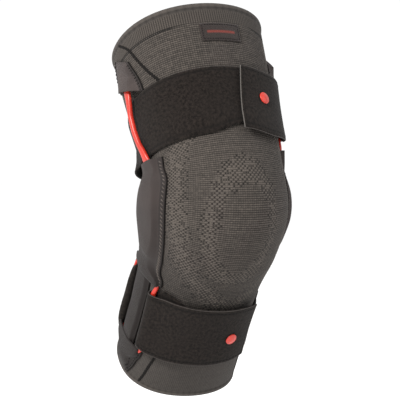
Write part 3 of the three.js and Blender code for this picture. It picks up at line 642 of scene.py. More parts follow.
def pocket_material():
    """Smooth stretch cloth with a fine woven line, and a dark colour mixed in for painted shade and for the
    flat margins.
    """
    kit = Nodes("pocket_cloth", 0.85, sheen=0.04, specular=0.2)
    cloth = kit.cloth()
    lines = kit.wave(cloth, 1.4, "X")
    broad = kit.noise(cloth, 0.05, 3.0)
    base = kit.mix(kit.spread(broad, 0.3, 0.7), colour("423a38"), colour("352f2e"))
    base = kit.mix(kit.math("MULTIPLY", lines, 0.35), base, colour("272322"))
    # painted shade, darker towards the pocket's lower end, and the darker flat margins
    kit.paint(kit.mix(kit.value("shade_and_tone"), base, colour("1c1817")))
    kit.bump(kit.math("ADD", lines, kit.noise(cloth, 2.5, 2.0)), 0.12, 0.5)
    return kit.material


def plush_material():
    """Short loop pile of the straps, painted darker as shade in its sunk seam lines."""
    kit = Nodes("strap_plush", 0.95, sheen=0.05, specular=0.1)
    kit.shader.inputs["Sheen Roughness"].default_value = 0.5
    cloth = kit.cloth()
    pile = kit.noise(cloth, 0.42, 4.0, 0.7)
    broad = kit.noise(cloth, 0.06, 3.0)
    base = kit.mix(kit.spread(pile, 0.38, 0.62), colour("080605"), colour("201b18"))
    base = kit.mix(kit.spread(broad, 0.35, 0.7, 0.0, 0.5), base, colour("1a1614"))
    kit.paint(kit.mix(kit.value("shade_and_tone"), base, colour("0d0b0a")))
    kit.bump(pile, 0.5, 0.7)
    return kit.material


def thread_material(name, light, dark, sheen=0.1):
    """Sewing thread."""
    kit = Nodes(name, 0.9, sheen=sheen, specular=0.15)
    fine = kit.noise(kit.place(), 1500.0, 2.0)
    kit.paint(kit.mix(kit.spread(fine, 0.3, 0.7), colour(light), colour(dark)))
    kit.bump(fine, 0.1, 0.6)
    return kit.material


def plastic_material():
    """Satin moulded plastic with a faint grain."""
    kit = Nodes("red_plastic", 0.34, specular=0.5)
    kit.shader.inputs["Subsurface Weight"].default_value = 0.08
    kit.shader.inputs["Subsurface Scale"].default_value = 0.002
    broad = kit.noise(kit.place(), 60.0, 2.0)
    kit.paint(kit.mix(kit.spread(broad, 0.3, 0.7), colour("b42a1b"), colour("a32517")))
    kit.bump(kit.noise(kit.place(), 1800.0, 2.0), 0.05, 0.35)
    return kit.material


def hook_material():
    """Tape with rows of small hooks."""
    kit = Nodes("hook_cloth", 0.7, specular=0.3)
    cloth = kit.cloth()
    rows = kit.math("MULTIPLY", kit.wave(cloth, 0.9, "X"), kit.wave(cloth, 0.9, "Y"))
    kit.paint(kit.mix(kit.spread(rows, 0.1, 0.6), colour("2b2827"), colour("4a4744")))
    kit.bump(rows, 0.6, 0.8)
    return kit.material


def label_material():
    """Woven patch with fine crossing lines, painted darker as shade in its sunk border."""
    kit = Nodes("label_cloth", 0.8, sheen=0.1)
    cloth = kit.cloth()
    weave = kit.math("ADD", kit.wave(cloth, 2.2, "X"), kit.wave(cloth, 3.0, "Y"))
    base = kit.mix(kit.spread(weave, 0.3, 1.7), colour("160d0a"), colour("221611"))
    base = kit.mix(kit.value("stripe"), base, colour("611f15"))
    kit.paint(kit.mix(kit.value("shade_and_tone"), base, colour("1c1516")))
    kit.bump(weave, 0.12, 0.6)
    return kit.material


KNIT = knit_material("knit", "57504a", "443f3b", "1a1817")
KNIT_FINE = knit_material("knit_fine", "48433f", "3d3936", "1e1c1b", 1.6)
POCKET = pocket_material()
PLUSH = plush_material()
PLASTIC = plastic_material()
HOOK = hook_material()
LABEL = label_material()
DARK_THREAD = thread_material("dark_thread", "120f0e", "0b0a09", 0.0)
DULL_THREAD = thread_material("dull_thread", "3a3532", "2a2624")
GREY_THREAD = thread_material("grey_thread", "595551", "484441")
OVERLOCK_THREAD = thread_material("overlock_thread", "5a534e", "3d3733")

# Knitted sleeve

COURSE = 1.8
WALE = 1.8
SAMPLES = 4
RELIEF = 0.42
DOT_DEPTH = 0.26
RIB_START = 131.0
GROOVE_AT = 145.0
LOW_GROOVE = 4.2
GROOVE_WIDTH = 0.9
HEM_DEGREES = 24.0
HEM_FADE = 25.0
SHADE_TOP = -12.0
SHADE_RUN = 45.0
BACK_REACH = 26.0
BACK_CREASE = 12.5

# Middle of the band of dots that goes down beside the kneecap, and half its width
DOT_BAND = np.array(
    [  # along, degrees, half width
        (56, -12, 7),
        (49, -31, 8),
        (41, -46, 8),
        (30, -58, 10),
        (6, -59, 11),
        (-22, -52, 11),
        (-44, -31, 11),
        (-61, -8, 10),
        (-67, 8, 10),
        (-56, 24, 9),
        (-36, 40, 9),
        (-8, 53, 9),
        (18, 55, 9),
        (38, 44, 8),
        (52, 24, 7),
    ],
    float,
)
RING_MIDDLE = (-6.5, -3.5)
RING_RADIUS = 27.0
RING_WIDTH = 0.27

# Rolled edge of a rim: distance into the sleeve and outwards
ROLL = [(0.35, -0.2), (0.0, 0.5), (-0.25, 1.4), (0.0, 2.5), (0.6, 3.0), (1.6, 3.15), (2.8, 3.0), (3.8, 2.5)]
UNDER_KNIT = 1.55

# The courses have their pitch on the front of the leg, which is longer than its centre line
TRACE = np.arange(BOTTOM, TOP + 0.5, 0.5)
TRACE_STEPS = np.linalg.norm(np.diff(place(TRACE, -15.0, SLEEVE_WALL), axis=0), axis=1)
TRACE_RUN = np.concatenate([[0], np.cumsum(TRACE_STEPS)])
TRACE_RUN = TRACE_RUN - np.interp(0.0, TRACE, TRACE_RUN)


def course_at(along):
    """Number of the course at a level, and the level of a course."""
    return np.interp(along, TRACE, TRACE_RUN) / COURSE


def along_at(course):
    return np.interp(np.asarray(course) * COURSE, TRACE_RUN, TRACE)


def scatter(i, j, seed=0.0):
    """Even random numbers from 0 to 1, the same for the same cell each time."""
    number = np.sin(i * 127.1 + j * 311.7 + seed) * 43758.5453
    return number - np.floor(number)


def band_share(along, degrees):
    """How far inside the band of dots a place lies: 1 on its middle line, 0 at its edge."""
    best = np.full(np.shape(along), 9.0)
    for low, high in zip(DOT_BAND[:-1], DOT_BAND[1:]):
        run = (high - low)[:2]
        x = along - low[0]
        y = degrees - low[1]
        t = np.clip((x * run[0] + y * run[1]) / (run @ run), 0, 1)
        away = np.hypot(x - t * run[0], y - t * run[1])
        best = np.minimum(best, away / (low[2] * (1 - t) + high[2] * t))
    return 1 - best


def ring_share(along, degrees):
    """The same for the ring of dots round the kneecap."""
    up = (along - RING_MIDDLE[0]) / RING_RADIUS
    round_leg = (degrees - RING_MIDDLE[1]) / RING_RADIUS
    return 1 - np.abs(np.hypot(up, round_leg) - 1) / RING_WIDTH


def pattern_share(along, degrees):
    """How far inside the band or the ring a place lies; the ring is fainter on the right."""
    share = np.maximum(band_share(along, degrees), ring_share(along, degrees) * 1.05)
    right = np.clip((degrees - 5) / 30, 0, 1)
    return share - 0.3 * right * (along > -30)


def dots_at(along, degrees):
    """1 where the dark yarn shows in a stitch, 0 elsewhere."""
    i = np.floor(course_at(along))
    j = np.floor(degrees / WALE)
    middle_s = along_at(i + 0.5)
    share = pattern_share(middle_s, (j + 0.5) * WALE)
    density = np.clip(share * 1.3 + 0.25, 0, 0.82)
    even = (i + j) % 2 == 0
    chosen = even & (scatter(i, j) < density)
    stray = ~even & (scatter(i, j, 7.0) < 0.06 * np.clip(share * 2, 0, 1))
    return np.where(chosen | stray, 0.75 + 0.25 * scatter(i, j, 11.0), 0.0)


def stitch_grid(along, degrees):
    """Shares that are 0 between two courses and between two wales, and 1 on them."""
    course = np.abs(np.sin(np.pi * course_at(along)))
    column = np.abs(np.sin(np.pi * degrees / WALE))
    return course, column


def uneven(along, degrees):
    """Small differences between the stitches."""
    i = np.floor(course_at(along))
    j = np.floor(degrees / WALE)
    return scatter(i, j, 3.0) - 0.5 + 0.5 * (scatter(i, 0.0, 5.0) - 0.5)


def front_pattern(along, degrees):
    """Relief and colours of the patterned panel over the kneecap, with painted shade between the stitches
    and towards the bottom, and lighter over the band and ring of dots, partly lighter yarn and partly
    painted light.
    """
    course, column = stitch_grid(along, degrees)
    dot = dots_at(along, degrees) * column**0.35 * course**0.1
    # lighter over the band and ring of dots: partly lighter yarn, partly painted light from the upper left
    yarn_and_painted_light = np.clip(pattern_share(along, degrees) * 1.5, 0, 1)
    # painted shade, darker towards the bottom
    low = np.clip((SHADE_TOP - along) / SHADE_RUN, 0, 1)
    shade = uneven(along, degrees) * 0.3
    height = RELIEF * (course**0.6 * (0.5 + 0.5 * column**0.6) - 1) - DOT_DEPTH * dot
    shade_and_tone = 1 - course**0.7 * (0.62 + 0.38 * column**0.8) + shade
    shade_and_tone = shade_and_tone * 0.9 + 0.15 - 0.36 * yarn_and_painted_light + 0.24 * low
    return height, np.clip(shade_and_tone, 0, 1), dot


def top_pattern(along, degrees):
    """Square stitches, a ribbed hem above them and a sunk line under the rolled edge, with painted shade
    between the stitches, and with the hem line and the sunk line painted dark with the dot yarn as shade;
    the ribbed hem is darker overall.
    """
    course, column = stitch_grid(along, degrees)
    ribbed = np.clip((along - RIB_START) / 2.0, 0, 1)
    hem = ridge(along - RIB_START, GROOVE_WIDTH) * np.clip((np.abs(degrees) - HEM_DEGREES) / HEM_FADE, 0, 1)
    rim = ridge(along - GROOVE_AT, 1.0)
    knit = course**0.6 * (0.45 + 0.55 * column**0.6)
    rib = 0.25 + 0.65 * column**0.8
    height = RELIEF * ((1 - ribbed) * knit + ribbed * rib - 1)
    square = 1 - course**0.7 * (0.42 + 0.58 * column**0.8) + uneven(along, degrees) * 0.35
    shade_and_tone = (1 - ribbed) * square + ribbed * (0.75 - 0.75 * column + 0.2 * (1 - course))
    # the hem line and the sunk line under the roll, painted dark as shade
    line = np.clip(hem + rim, 0, 1)
    return height - 0.55 * line, np.clip(shade_and_tone + line + 0.1 + 0.14 * ribbed, 0, 1), line * 0.85


def bottom_pattern(along, degrees):
    """Fine upright ribs with faint courses, and a hem near the lower rim; the gaps between the ribs and the
    sunk hem line are painted dark as shade.
    """
    course, column = stitch_grid(along, degrees)
    rim = ridge(along - BOTTOM - LOW_GROOVE, GROOVE_WIDTH)
    height = RELIEF * (0.65 * column**0.8 + 0.35 * course - 1) - 0.5 * rim
    shade_and_tone = 0.55 * (1 - column) + 0.3 * (1 - course) + uneven(along, degrees) * 0.2
    return height, np.clip(shade_and_tone + rim * 0.9, 0, 1), rim * 0.3


def back_pattern(along, degrees):
    """Upright ribs, with soft creases in the hollow of the knee; the gaps between the ribs and the hollows
    of the creases are painted dark as shade.
    """
    column = np.abs(np.sin(np.pi * degrees / (2 * WALE)))
    behind = np.clip((np.abs(degrees - 180) - 75) / -30, 0, 1)
    bend = ridge(along - BEND_RISE, BACK_REACH) * behind
    crease = np.sin(2 * np.pi * (along + 2.5 * np.sin(np.radians(degrees * 3))) / BACK_CREASE)
    height = RELIEF * 0.8 * (column**0.7 - 1) + bend * 0.8 * (crease - 1) * 0.5
    shade_and_tone = 0.55 * (1 - column) + bend * 0.3 * (crease < -0.4)
    return height, np.clip(shade_and_tone, 0, 1), np.zeros_like(height)


def knit_panel(name, low, high, start, end, pattern, row_step, column_step, material):
    """Outer face of the sleeve between two heights and two angles."""
    first, last = course_at(np.array([low, high])) / row_step
    rows = along_at(np.arange(math.floor(first), math.ceil(last) + 1) * row_step)
    columns = np.arange(math.floor(start / column_step), math.ceil(end / column_step) + 1) * column_step
    along, degrees = np.meshgrid(rows, columns, indexing="ij")
    height, shade_and_tone, dot = pattern(along, degrees)
    points = place(along, degrees, SLEEVE_WALL + height)
    faces = grid_faces(len(rows), len(columns))
    values = {"shade_and_tone": shade_and_tone, "dot": dot}
    made = piece(name, points, faces, material, values, on_cloth(degrees, along))
    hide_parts("knit_sleeve")
    return made


def sleeve_body():
    """Plain tube under the knitted faces, with a rolled edge at both rims; painted shade darkens the gaps
    between its ribs and the creases of the rolled edges.
    """
    outer = [(at, UNDER_KNIT) for at in np.arange(BOTTOM + 6, TOP - 5.5, 3.0)]
    inner = [(at, 0.0) for at in np.arange(TOP - 2, BOTTOM + 1.5, -3.0)]
    low_roll = [(BOTTOM + up, out) for up, out in ROLL]
    high_roll = [(TOP - up, out) for up, out in ROLL][::-1]
    profile = np.array(low_roll + outer + high_roll + inner)
    columns = np.arange(0, 360, 2.0)
    along, degrees = np.meshgrid(profile[:, 0], columns, indexing="ij")
    out = np.repeat(profile[:, 1:], len(columns), axis=1)
    rib = np.abs(np.sin(np.pi * degrees / 6.0))
    points = place(along, degrees, out)
    rows = len(profile)
    ring = np.concatenate([points, points[:1]])
    faces = grid_faces(rows + 1, len(columns), closed=True) % (rows * len(columns))
    cloth = np.stack([degrees, along, out], axis=-1)
    # painted shade in the creases of the rolled edges and between the ribs
    rolled = np.isclose(out, 2.5) & (np.abs(along) > 100)
    values = {"shade_and_tone": 0.25 * (1 - rib) + 0.6 * rolled, "dot": np.zeros_like(along)}
    made = piece("knit_body", ring[:-1], faces, KNIT_FINE, values, cloth)
    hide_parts("knit_sleeve")
    return made


def knitted_sleeve():
    """The tube and its seven knitted faces, which are one sheet."""
    fine = 1 / SAMPLES
    column = WALE / SAMPLES
    middle = float(along_at(0))
    rim = TOP - 3.4
    body = sleeve_body()
    table = [  # name, low, high, start, end, pattern, row step, column step, material
        ("front_low", -77, middle, -74, 74, front_pattern, fine, column, KNIT),
        ("front_high", middle, 48, -74, 74, front_pattern, fine, column, KNIT),
        ("top_front", 80, rim, -112, 72, top_pattern, fine, column, KNIT),
        ("top_back", 60, rim, 72, 248, top_pattern, fine * 2, column * 2, KNIT),
        ("bottom", BOTTOM + 3.4, -118, 0, 360, bottom_pattern, fine * 2, column * 2, KNIT_FINE),
        ("back", -125, 66, 73, 287, back_pattern, 1, column * 2, KNIT_FINE),
        ("shin", -125, -76, -74, 74, bottom_pattern, 1, column * 2, KNIT_FINE),
    ]
    panels = [knit_panel(f"knit_{name}", *row) for name, *row in table]
    along, degrees = np.meshgrid(np.arange(BOTTOM, TOP, 3.0), np.arange(0, 361, 2.0), indexing="ij")
    place(along, degrees, SLEEVE_WALL / 2)


# Pockets

HALF_POCKET = POCKET_WIDTH / 2
ARM_COVER = ARM_WIDTH / 2 + 1.5
STRIP_EDGE = ARM_COVER + 3.5
EAR_RISE = 0.5
EAR_BACK = 3.0
EAR_RUN = 3.0
MOUTH_LEAD = 0.5
FOOT_LEAD = 2.5
MARGIN = 4.6  # flat cloth beside the edge, under the overlock stitches
SOFTEST = 11.0  # longest run of the cloth down from the arm
POCKET_END = BOTTOM + POCKET_INSET
ARM_HIDDEN = 22.0  # from the cap's rear corner down to the arm in it
ROW_STEP = 1.5
ROW_ROUNDS = 2
CAP_SLANT = 0.6
MOUTH_PIVOT = 12.0
NECK = [(0.26, 0.97), (0.47, 0.94), (0.75, 0.95)]  # share of the way down, half width
MARGIN_RISE = 0.06  # share of the height that the margin and the crown climb
MARGIN_STEPS = 6
SLOPE_STEPS = 10
CROWN_STEPS = 16
# Painted shade down a pocket by level: darker towards its lower end, and none on the cap, which so shows
# lighter as if lit
SHADE_LEVELS = [-60, -10, 50, 90]
SHADE = [0.95, 0.4, 0.35, 0.0]
OVERLOCK_STITCH = {"radius": 0.4, "length": 3.4, "gap": 0.2}
OVERLOCK_PITCH = 2.5
OVERLOCK_INSETS = (0.5, 4.2)
PIPING_RADIUS = 0.6
CAP_SEAMS = (1.3, 2.9)
FOOT_SEAM = 1.6
POCKET_STITCH = {"radius": 0.42, "length": 1.9, "gap": 1.3}
TACK_LENGTH = 14.0
TACK_REAR = 3.0
TACK_FRONT = 16.0
TACK_ROWS = 7


def plain_row(along, edge):
    """Row of the cloth over the arm."""
    return (along, OVER_ARM, -edge, -ARM_COVER, ARM_COVER, edge)


def hinge_row(turn, edge):
    """Row of the cloth over the hinge, at an angle round its rim."""
    reach = HINGE_SHOWN / 2 * math.cos(math.radians(turn)) + 1.5
    along = (HINGE_LENGTH / 2 + 1) * math.sin(math.radians(turn)) - HINGE_DROP
    return (along, OVER_HINGE, -edge, HINGE_FORWARD - reach, HINGE_FORWARD + reach, edge)


def ear_row(side, along):
    """Row of the cloth over the bars of the lower loops."""
    row = list(plain_row(along, HALF_POCKET * 0.95))
    row[1] = OVER_ARM + EAR_RISE
    for loop in side["loops"]:
        reach = loop["reach"] + loop["thickness"] / 2
        if loop["way"] > 0:
            row[4:6] = [reach - EAR_BACK, reach - 0.5]
        else:
            row[2:4] = [-reach + 0.5, -reach + EAR_BACK]
    return tuple(row)


def pocket_tables(side):
    """Rows (along, over, rear edge, rear, front, front edge) of a pocket's three stretches."""
    low, high = lower_window(side)
    top = upper_window(side)[0]
    half = HALF_POCKET
    bar = side["bar"]
    lean = bar * ARM_LEAN
    bars_top = high + LOOP_INSET
    bars_end = low - LOOP_INSET
    hinge_end = hinge_row(-62, half)
    neck = hinge_end[0] - bars_top - EAR_RUN
    shoulder = shoulder_level(side)
    body = [
        (top, OVER_FOOT, -half * 0.7, bar - BRIDGE_CLOTH, bar + BRIDGE_CLOTH, half * 0.82),
        (shoulder, OVER_ARM, -half * 0.84, lean - ARM_COVER, lean + ARM_COVER, half * 0.84),
        (HINGE_TOP, OVER_ARM, -half * 0.92, -ARM_COVER, ARM_COVER + 2, half * 0.92),
        hinge_row(62, half),
        hinge_row(35, half * 0.99),
        hinge_row(0, half),
        hinge_row(-35, half * 0.99),
        hinge_end,
        *[plain_row(hinge_end[0] - neck * share, half * edge) for share, edge in NECK],
        ear_row(side, bars_top + EAR_RUN),
        ear_row(side, high + MOUTH_LEAD),
    ]
    across = (OVER_ARM, -STRIP_EDGE, 1 - ARM_COVER, ARM_COVER - 1, STRIP_EDGE)
    strip = [(high + 3, *across), (low - 3, *across)]
    foot = [
        ear_row(side, low + FOOT_LEAD),
        ear_row(side, bars_end - EAR_RUN),
        plain_row(foot_level(side, 0.35), half * 0.95),
        plain_row(foot_level(side, 0.66), half * 0.85),
        (POCKET_END, SLEEVE_OUT, -half * 0.55, -4, 4, half * 0.55),
    ]
    return body, strip, foot


def cap_table(side):
    """The same rows of a cap, from its rounded top down to its mouth."""
    high = upper_window(side)[1] + side["open"]
    foot = BRIDGE_CLOTH
    narrow = ARM_COVER * 0.6
    bar = side["bar"]
    shift = side["cap"]
    top = cap_top(side) + shift * 0.4
    lean = bar * ARM_LEAN + shift
    over = OVER_ARM + shift * 0.15
    half = HALF_POCKET
    rows = [  # along, out, rear edge as a share, rear, front, front edge as a share
        (top, SLEEVE_OUT, 0.45, lean - 3, lean + 3, 0.5),
        (top - 7, over, 0.7, lean - narrow, lean + narrow, 0.7),
        (top - 13, over, 0.8, lean - ARM_COVER, lean + ARM_COVER, 0.8),
        (high + 9, OVER_FOOT, 0.88, bar - foot - 1, bar + foot + shift, 0.86),
        (high + 5, OVER_BAR, 0.9, bar - foot, bar + foot, 0.87),
        (high, OVER_BAR + side["lift"], 0.9, bar - foot, bar + foot, 0.88),
    ]
    return [
        (at, out, shift - half * rear, start, end, shift + half * front)
        for at, out, rear, start, end, front in rows
    ]


def smooth_rows(table):
    """A pocket table's rows from the lowest up, filled up and softened."""
    table = np.asarray(table, float)[::-1]
    count = max(3, int((table[-1, 0] - table[0, 0]) / ROW_STEP))
    return filled_rows(table, np.linspace(table[0, 0], table[-1, 0], count), ROW_ROUNDS)


def pocket_face(rows, margin):
    """Grids of forward distance and height across a pocket's cloth, and of its flat margin."""
    lift = rows[:, 1] - SLEEVE_OUT
    front_run = np.clip(rows[:, 5] - rows[:, 4] - margin, 1.2, SOFTEST)
    rear_run = np.clip(rows[:, 3] - rows[:, 2] - margin, 1.2, SOFTEST)
    forward = []
    height = []
    flat = []

    def stretch(start, end, count, profile, edge):
        for t in np.linspace(0, 1, count, endpoint=False):
            forward.append(start * (1 - t) + end * t)
            height.append(SLEEVE_OUT + lift * profile(t))
            flat.append(np.full(len(rows), edge))

    def slope(t):
        return MARGIN_RISE + (1 - MARGIN_RISE) * soft(t)

    rear = rows[:, 3] - rear_run
    front = rows[:, 4] + front_run
    stretch(rows[:, 2], rear, MARGIN_STEPS, lambda t: MARGIN_RISE * t, 1.0)
    stretch(rear, rows[:, 3], SLOPE_STEPS, slope, 0.0)
    stretch(rows[:, 3], rows[:, 4], CROWN_STEPS, lambda t: 1 + MARGIN_RISE * math.sin(math.pi * t), 0.0)
    stretch(rows[:, 4], front, SLOPE_STEPS, lambda t: slope(1 - t), 0.0)
    stretch(front, rows[:, 5], MARGIN_STEPS, lambda t: MARGIN_RISE * (1 - t), 1.0)
    forward.append(rows[:, 5])
    height.append(np.full(len(rows), SLEEVE_OUT))
    flat.append(np.ones(len(rows)))
    return [np.stack(grid, axis=1) for grid in (forward, height, flat)]


def pocket_sheet(name, side, table, node, margin=MARGIN, slant=0.0, mouth=0.0):
    """One stretch of a pocket, whose top and mouth may slant down towards the front."""
    rows = smooth_rows(table)
    forward, height, flat = pocket_face(rows, margin)
    share = np.clip((rows[:, :1] - rows[0, 0] - 8) / (rows[-1, 0] - rows[0, 0] - 8), 0, 1)
    along = rows[:, :1] - slant * share * (forward - forward[:, :1])
    along = along - mouth * (1 - share) * (forward + MOUTH_PIVOT)
    crease = 0.12 * np.sin(along / 5.0 + forward / 7.0) + 0.1 * np.sin(along / 13.0 - forward / 4.0)
    outer = place_beside(side["hand"], along, forward, height + POCKET_WALL + crease)
    inner = place_beside(side["hand"], along, forward, height + 0.1)
    # painted shade, darker towards the lower end; the flat margin is darker as well
    shade = np.interp(along, SHADE_LEVELS, SHADE)
    values = {"shade_and_tone": np.maximum(flat * 0.8, shade)}
    made = cloth_sheet(name, outer, inner, POCKET, values, on_cloth(forward, along))
    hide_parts(node)
    return np.column_stack([rows, along[:, 0], along[:, -1]])


# Columns of a pocket's rows for an edge's distance forward and its level, and the way outwards
REAR_EDGE = (2, 6, -1)
FRONT_EDGE = (5, 7, 1)


def edge_line(side, rows, edge, inset, out):
    """Line beside a pocket's edge, `inset` inwards, over its cloth."""
    column, height, outwards = edge
    return line_beside(side, rows[:, height], rows[:, column] - outwards * inset, out)


def zigzag(side, rows, edge, near, far, out):
    """Slanted overlock threads between two insets from a pocket's edge."""
    lines = []
    pitch = OVERLOCK_PITCH
    starts = np.arange(rows[0, 0] + 1, rows[-1, 0] - pitch, pitch)
    column, _, outwards = edge
    for low in starts:
        at = np.array([low, low + pitch * 0.4, low + pitch * 0.8])
        border = np.interp(at, rows[:, 0], rows[:, column])
        forward = border - outwards * np.array([near, (near + far) / 2, far])
        lines.append(line_beside(side, at, forward, out))
    return lines


def bar_tacks(side):
    """Rows of coarse stitches that close a pocket's end."""
    lines = []
    low = POCKET_END + 4
    for k, forward in enumerate(np.linspace(TACK_REAR, TACK_FRONT, TACK_ROWS)):
        at = np.linspace(low + (k % 2) * 1.5, low + TACK_LENGTH - (k % 3), 12)
        lines.append(line_beside(side, at, forward, OVER_ARM - 0.6))
    return lines


def pocket_pieces(side):
    """The four stretches of cloth over a stay, with the rows of the three that have seams."""
    pocket = f"{side['name']}_pocket"
    body, strip, foot = pocket_tables(side)
    body_rows = pocket_sheet(f"{pocket}_body", side, body, pocket)
    pocket_sheet(f"{pocket}_strip", side, strip, pocket, 0.0)
    foot_rows = pocket_sheet(f"{pocket}_foot", side, foot, pocket, 2.0)
    slants = (CAP_SLANT, side["mouth"])
    cap_rows = pocket_sheet(f"{pocket}_top", side, cap_table(side), f"{pocket}_cap", 2.5, *slants)
    return body_rows, foot_rows, cap_rows


def pocket_seams(side, body, foot, cap):
    """Overlock threads, edge pipings and stitches of a pocket and its cap."""
    name = side["name"]
    margin = SLEEVE_OUT + POCKET_WALL
    edges = (REAR_EDGE, FRONT_EDGE)
    threads = []
    for edge in edges:
        threads += zigzag(side, body, edge, *OVERLOCK_INSETS, margin + 0.3)
    stitches(f"{name}_overlock", threads, OVERLOCK_THREAD, "pocket_cloth", **OVERLOCK_STITCH)
    sheets = (body, cap, foot)
    borders = [edge_line(side, rows, edge, -0.3, SLEEVE_OUT + 0.3) for rows in sheets for edge in edges]
    cords(f"{name}_pocket_piping", borders, PIPING_RADIUS, DARK_THREAD)
    inner = [edge_line(side, cap, edge, inset, margin + 0.2) for edge in edges for inset in CAP_SEAMS]
    inner += bar_tacks(side)
    inner += [edge_line(side, foot, edge, FOOT_SEAM, margin + 0.2) for edge in edges]
    stitches(f"{name}_pocket_stitches", inner, DARK_THREAD, "pocket_cloth", **POCKET_STITCH)


# Hinge stays

HINGE_TURNS = (62, 40, 20, 0, -20, -40, -62)
SPINE_STEP = 1.2
SPINE_ROUNDS = 3
SPINE_SIDES = 20
LOOP_SIDES = 14
LOOP_CLIMB = 8.0  # length in which a rail rises from under the cloth


def stay_rows(side):
    """Rows (along, forward, out, half width, half thickness) down the arm, hinge and bridge."""
    low, high = upper_window(side)
    tip = cap_top(side) - ARM_HIDDEN
    bar_high = high - WINDOW_ABOVE + BAR_MARGIN
    bar_low = low + WINDOW_BELOW - BAR_MARGIN
    middle = (bar_high + bar_low) / 2
    arm = (ARM_OUT, ARM_WIDTH / 2, ARM_THICKNESS / 2)
    foot = (FOOT_OUT + side["lift"], FOOT_WIDTH / 2, FOOT_THICKNESS / 2)
    bar = (BRIDGE_OUT + side["lift"], BRIDGE_END / 2, BRIDGE_THICKNESS / 2)
    at = side["bar"]
    lean = at * ARM_LEAN

    def crest(along, share):
        out = BRIDGE_OUT + BRIDGE_RISE * share + side["lift"]
        forward = at - side["bow"] * share
        return (along, forward, out, BRIDGE_WIDTH / 2, BRIDGE_THICKNESS / 2)

    upper = [
        (tip, lean, *arm),
        (high + 4, lean + 1, *arm),
        (high, at, *foot),
        (bar_high, at, *bar),
        crest((bar_high + middle) / 2, 0.75),
        crest(middle, 1),
        crest((bar_low + middle) / 2, 0.75),
        (bar_low, at, *bar),
        (low - 1, at, *foot),
        (shoulder_level(side), lean, *arm),
        (HINGE_TOP, (lean + HINGE_FORWARD) / 2, *arm),
    ]
    hinge = []
    for turn in HINGE_TURNS:
        angle = math.radians(turn)
        along = HINGE_LENGTH / 2 * math.sin(angle) - HINGE_DROP
        half = HINGE_SHOWN / 2 * math.cos(angle)
        hinge.append((along, HINGE_FORWARD, HINGE_OUT, half, HINGE_THICKNESS / 2))
    arm_top = -HINGE_LENGTH / 2 - HINGE_DROP - 1
    lower = [(down, 0, *arm) for down in np.linspace(arm_top, foot_level(side, 0.375), 7)]
    return np.array(upper + hinge + lower, float)[::-1]


def spine(side):
    """Rings down a stay's arm, hinge and bridge."""
    table = stay_rows(side)
    rows = filled_rows(table, np.arange(table[0, 0], table[-1, 0], SPINE_STEP), SPINE_ROUNDS)
    turn = full_turn(SPINE_SIDES)
    across = np.sign(np.cos(turn)) * np.abs(np.cos(turn)) ** 0.8
    height = np.sign(np.sin(turn)) * np.abs(np.sin(turn)) ** 0.7
    forward = rows[:, 1:2] + rows[:, 3:4] * across
    out = rows[:, 2:3] + rows[:, 4:5] * height
    return place_beside(side["hand"], np.repeat(rows[:, :1], len(turn), axis=1), forward, out)


def loop_ring(side, loop):
    """Rings along a lower loop: its rail and the two bars that join it to the arm."""
    low, high = lower_window(side)
    top = high + LOOP_INSET
    end = low - LOOP_INSET
    thin = min(loop["thickness"] * 0.5, LOOP_THICKNESS * 0.36)
    cross_out = SLEEVE_OUT + thin
    corner = loop["corner"]
    rows = [(top, r) for r in np.linspace(ARM_WIDTH / 4, loop["reach"] - corner, 6)[:-1]]
    for turn in np.radians(np.linspace(0, 90, 9)):
        inwards = corner * (1 - math.sin(turn))
        rows.append((top - corner * (1 - math.cos(turn)), loop["reach"] - inwards))
    rail = [(at, loop["reach"]) for at in np.linspace(top - corner, end + corner, 34)[1:-1]]
    rows = np.array(rows + rail + [(end + top - at, reach) for at, reach in reversed(rows)])
    inside = np.minimum(top - rows[:, 0], rows[:, 0] - end)
    share = soft(np.clip((inside - LOOP_INSET) / LOOP_CLIMB, 0, 1))
    out = cross_out + (loop["out"] - cross_out) * share
    radius = thin + (loop["thickness"] / 2 - thin) * share
    degrees = np.array([beside(LOWER, side["hand"], loop["way"] * reach) for reach in rows[:, 1]])
    centre = place(rows[:, 0], degrees, out)
    return tube(centre, radius, LOOP_SIDES, 1.0, leg_normal(rows[:, 0], degrees))


def hinge_stay(side):
    name = side["name"]
    grids = [spine(side)] + [loop_ring(side, loop) for loop in side["loops"]]
    made = tubes(f"{name}_stay", grids, PLASTIC)
    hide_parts(f"{name}_hinge_stay")


# Straps

STRAP_COLUMNS = 41
HOOK_COLUMNS = 23
UPPER_TAB_LENGTH = 105.0
LOWER_TAB_LENGTH = 118.0
ROUTE_STEP = 1.0  # degrees
CLIMB_STEPS = 6  # between stops that lie further out or in
SEAM_INSET = 2.6
SEAM_COLUMNS = (2, -3)  # columns of a strap's grid under the stitches beside its edges
SELVAGE_RADIUS = 0.36
END_SELVAGE_RADIUS = 0.42
SEAM_WIDTH = 0.5
BORDER = 1.6
STRAP_STITCH = {"radius": 0.28, "length": 2.4, "gap": 1.0}
LABEL_STITCH = {"radius": 0.25, "length": 1.5, "gap": 0.7}

# How the straps' edges are drawn up or let down where they fold: the rise, and the degrees where it
# starts, is full, is still full and has ended
GATHERS = {
    "upper_under": [(4.5, -25, 8, 60, 84)],
    "upper_fold": [(8.5, 68, 90, 140, 170)],
    "upper_drop": [(-3.8, 2, 35, 48, 76)],
    "tab_top": [(6.3, -170, -110, 5, 60), (2.5, 5, 36, 60, 90)],
    "tab_low": [(2.5, 20, 40, 60, 90), (-1.4, -80, -40, -5, 30)],
    "under_top": [(6.3, -170, -110, -60, -20), (4.5, -66, -56, -50, -22), (-5.0, 30, 50, 85, 120)],
    "fold_corner": [(4.0, -130, -112, -72, -54)],
    "sewn_fan": [(1.0, -172, -128, -95, -60)],
}
FAN_RISE = 7.5


def full_stop(stop):
    """A stop of a route with all four of its numbers."""
    return tuple(stop) + (0.0,) * (4 - len(stop))


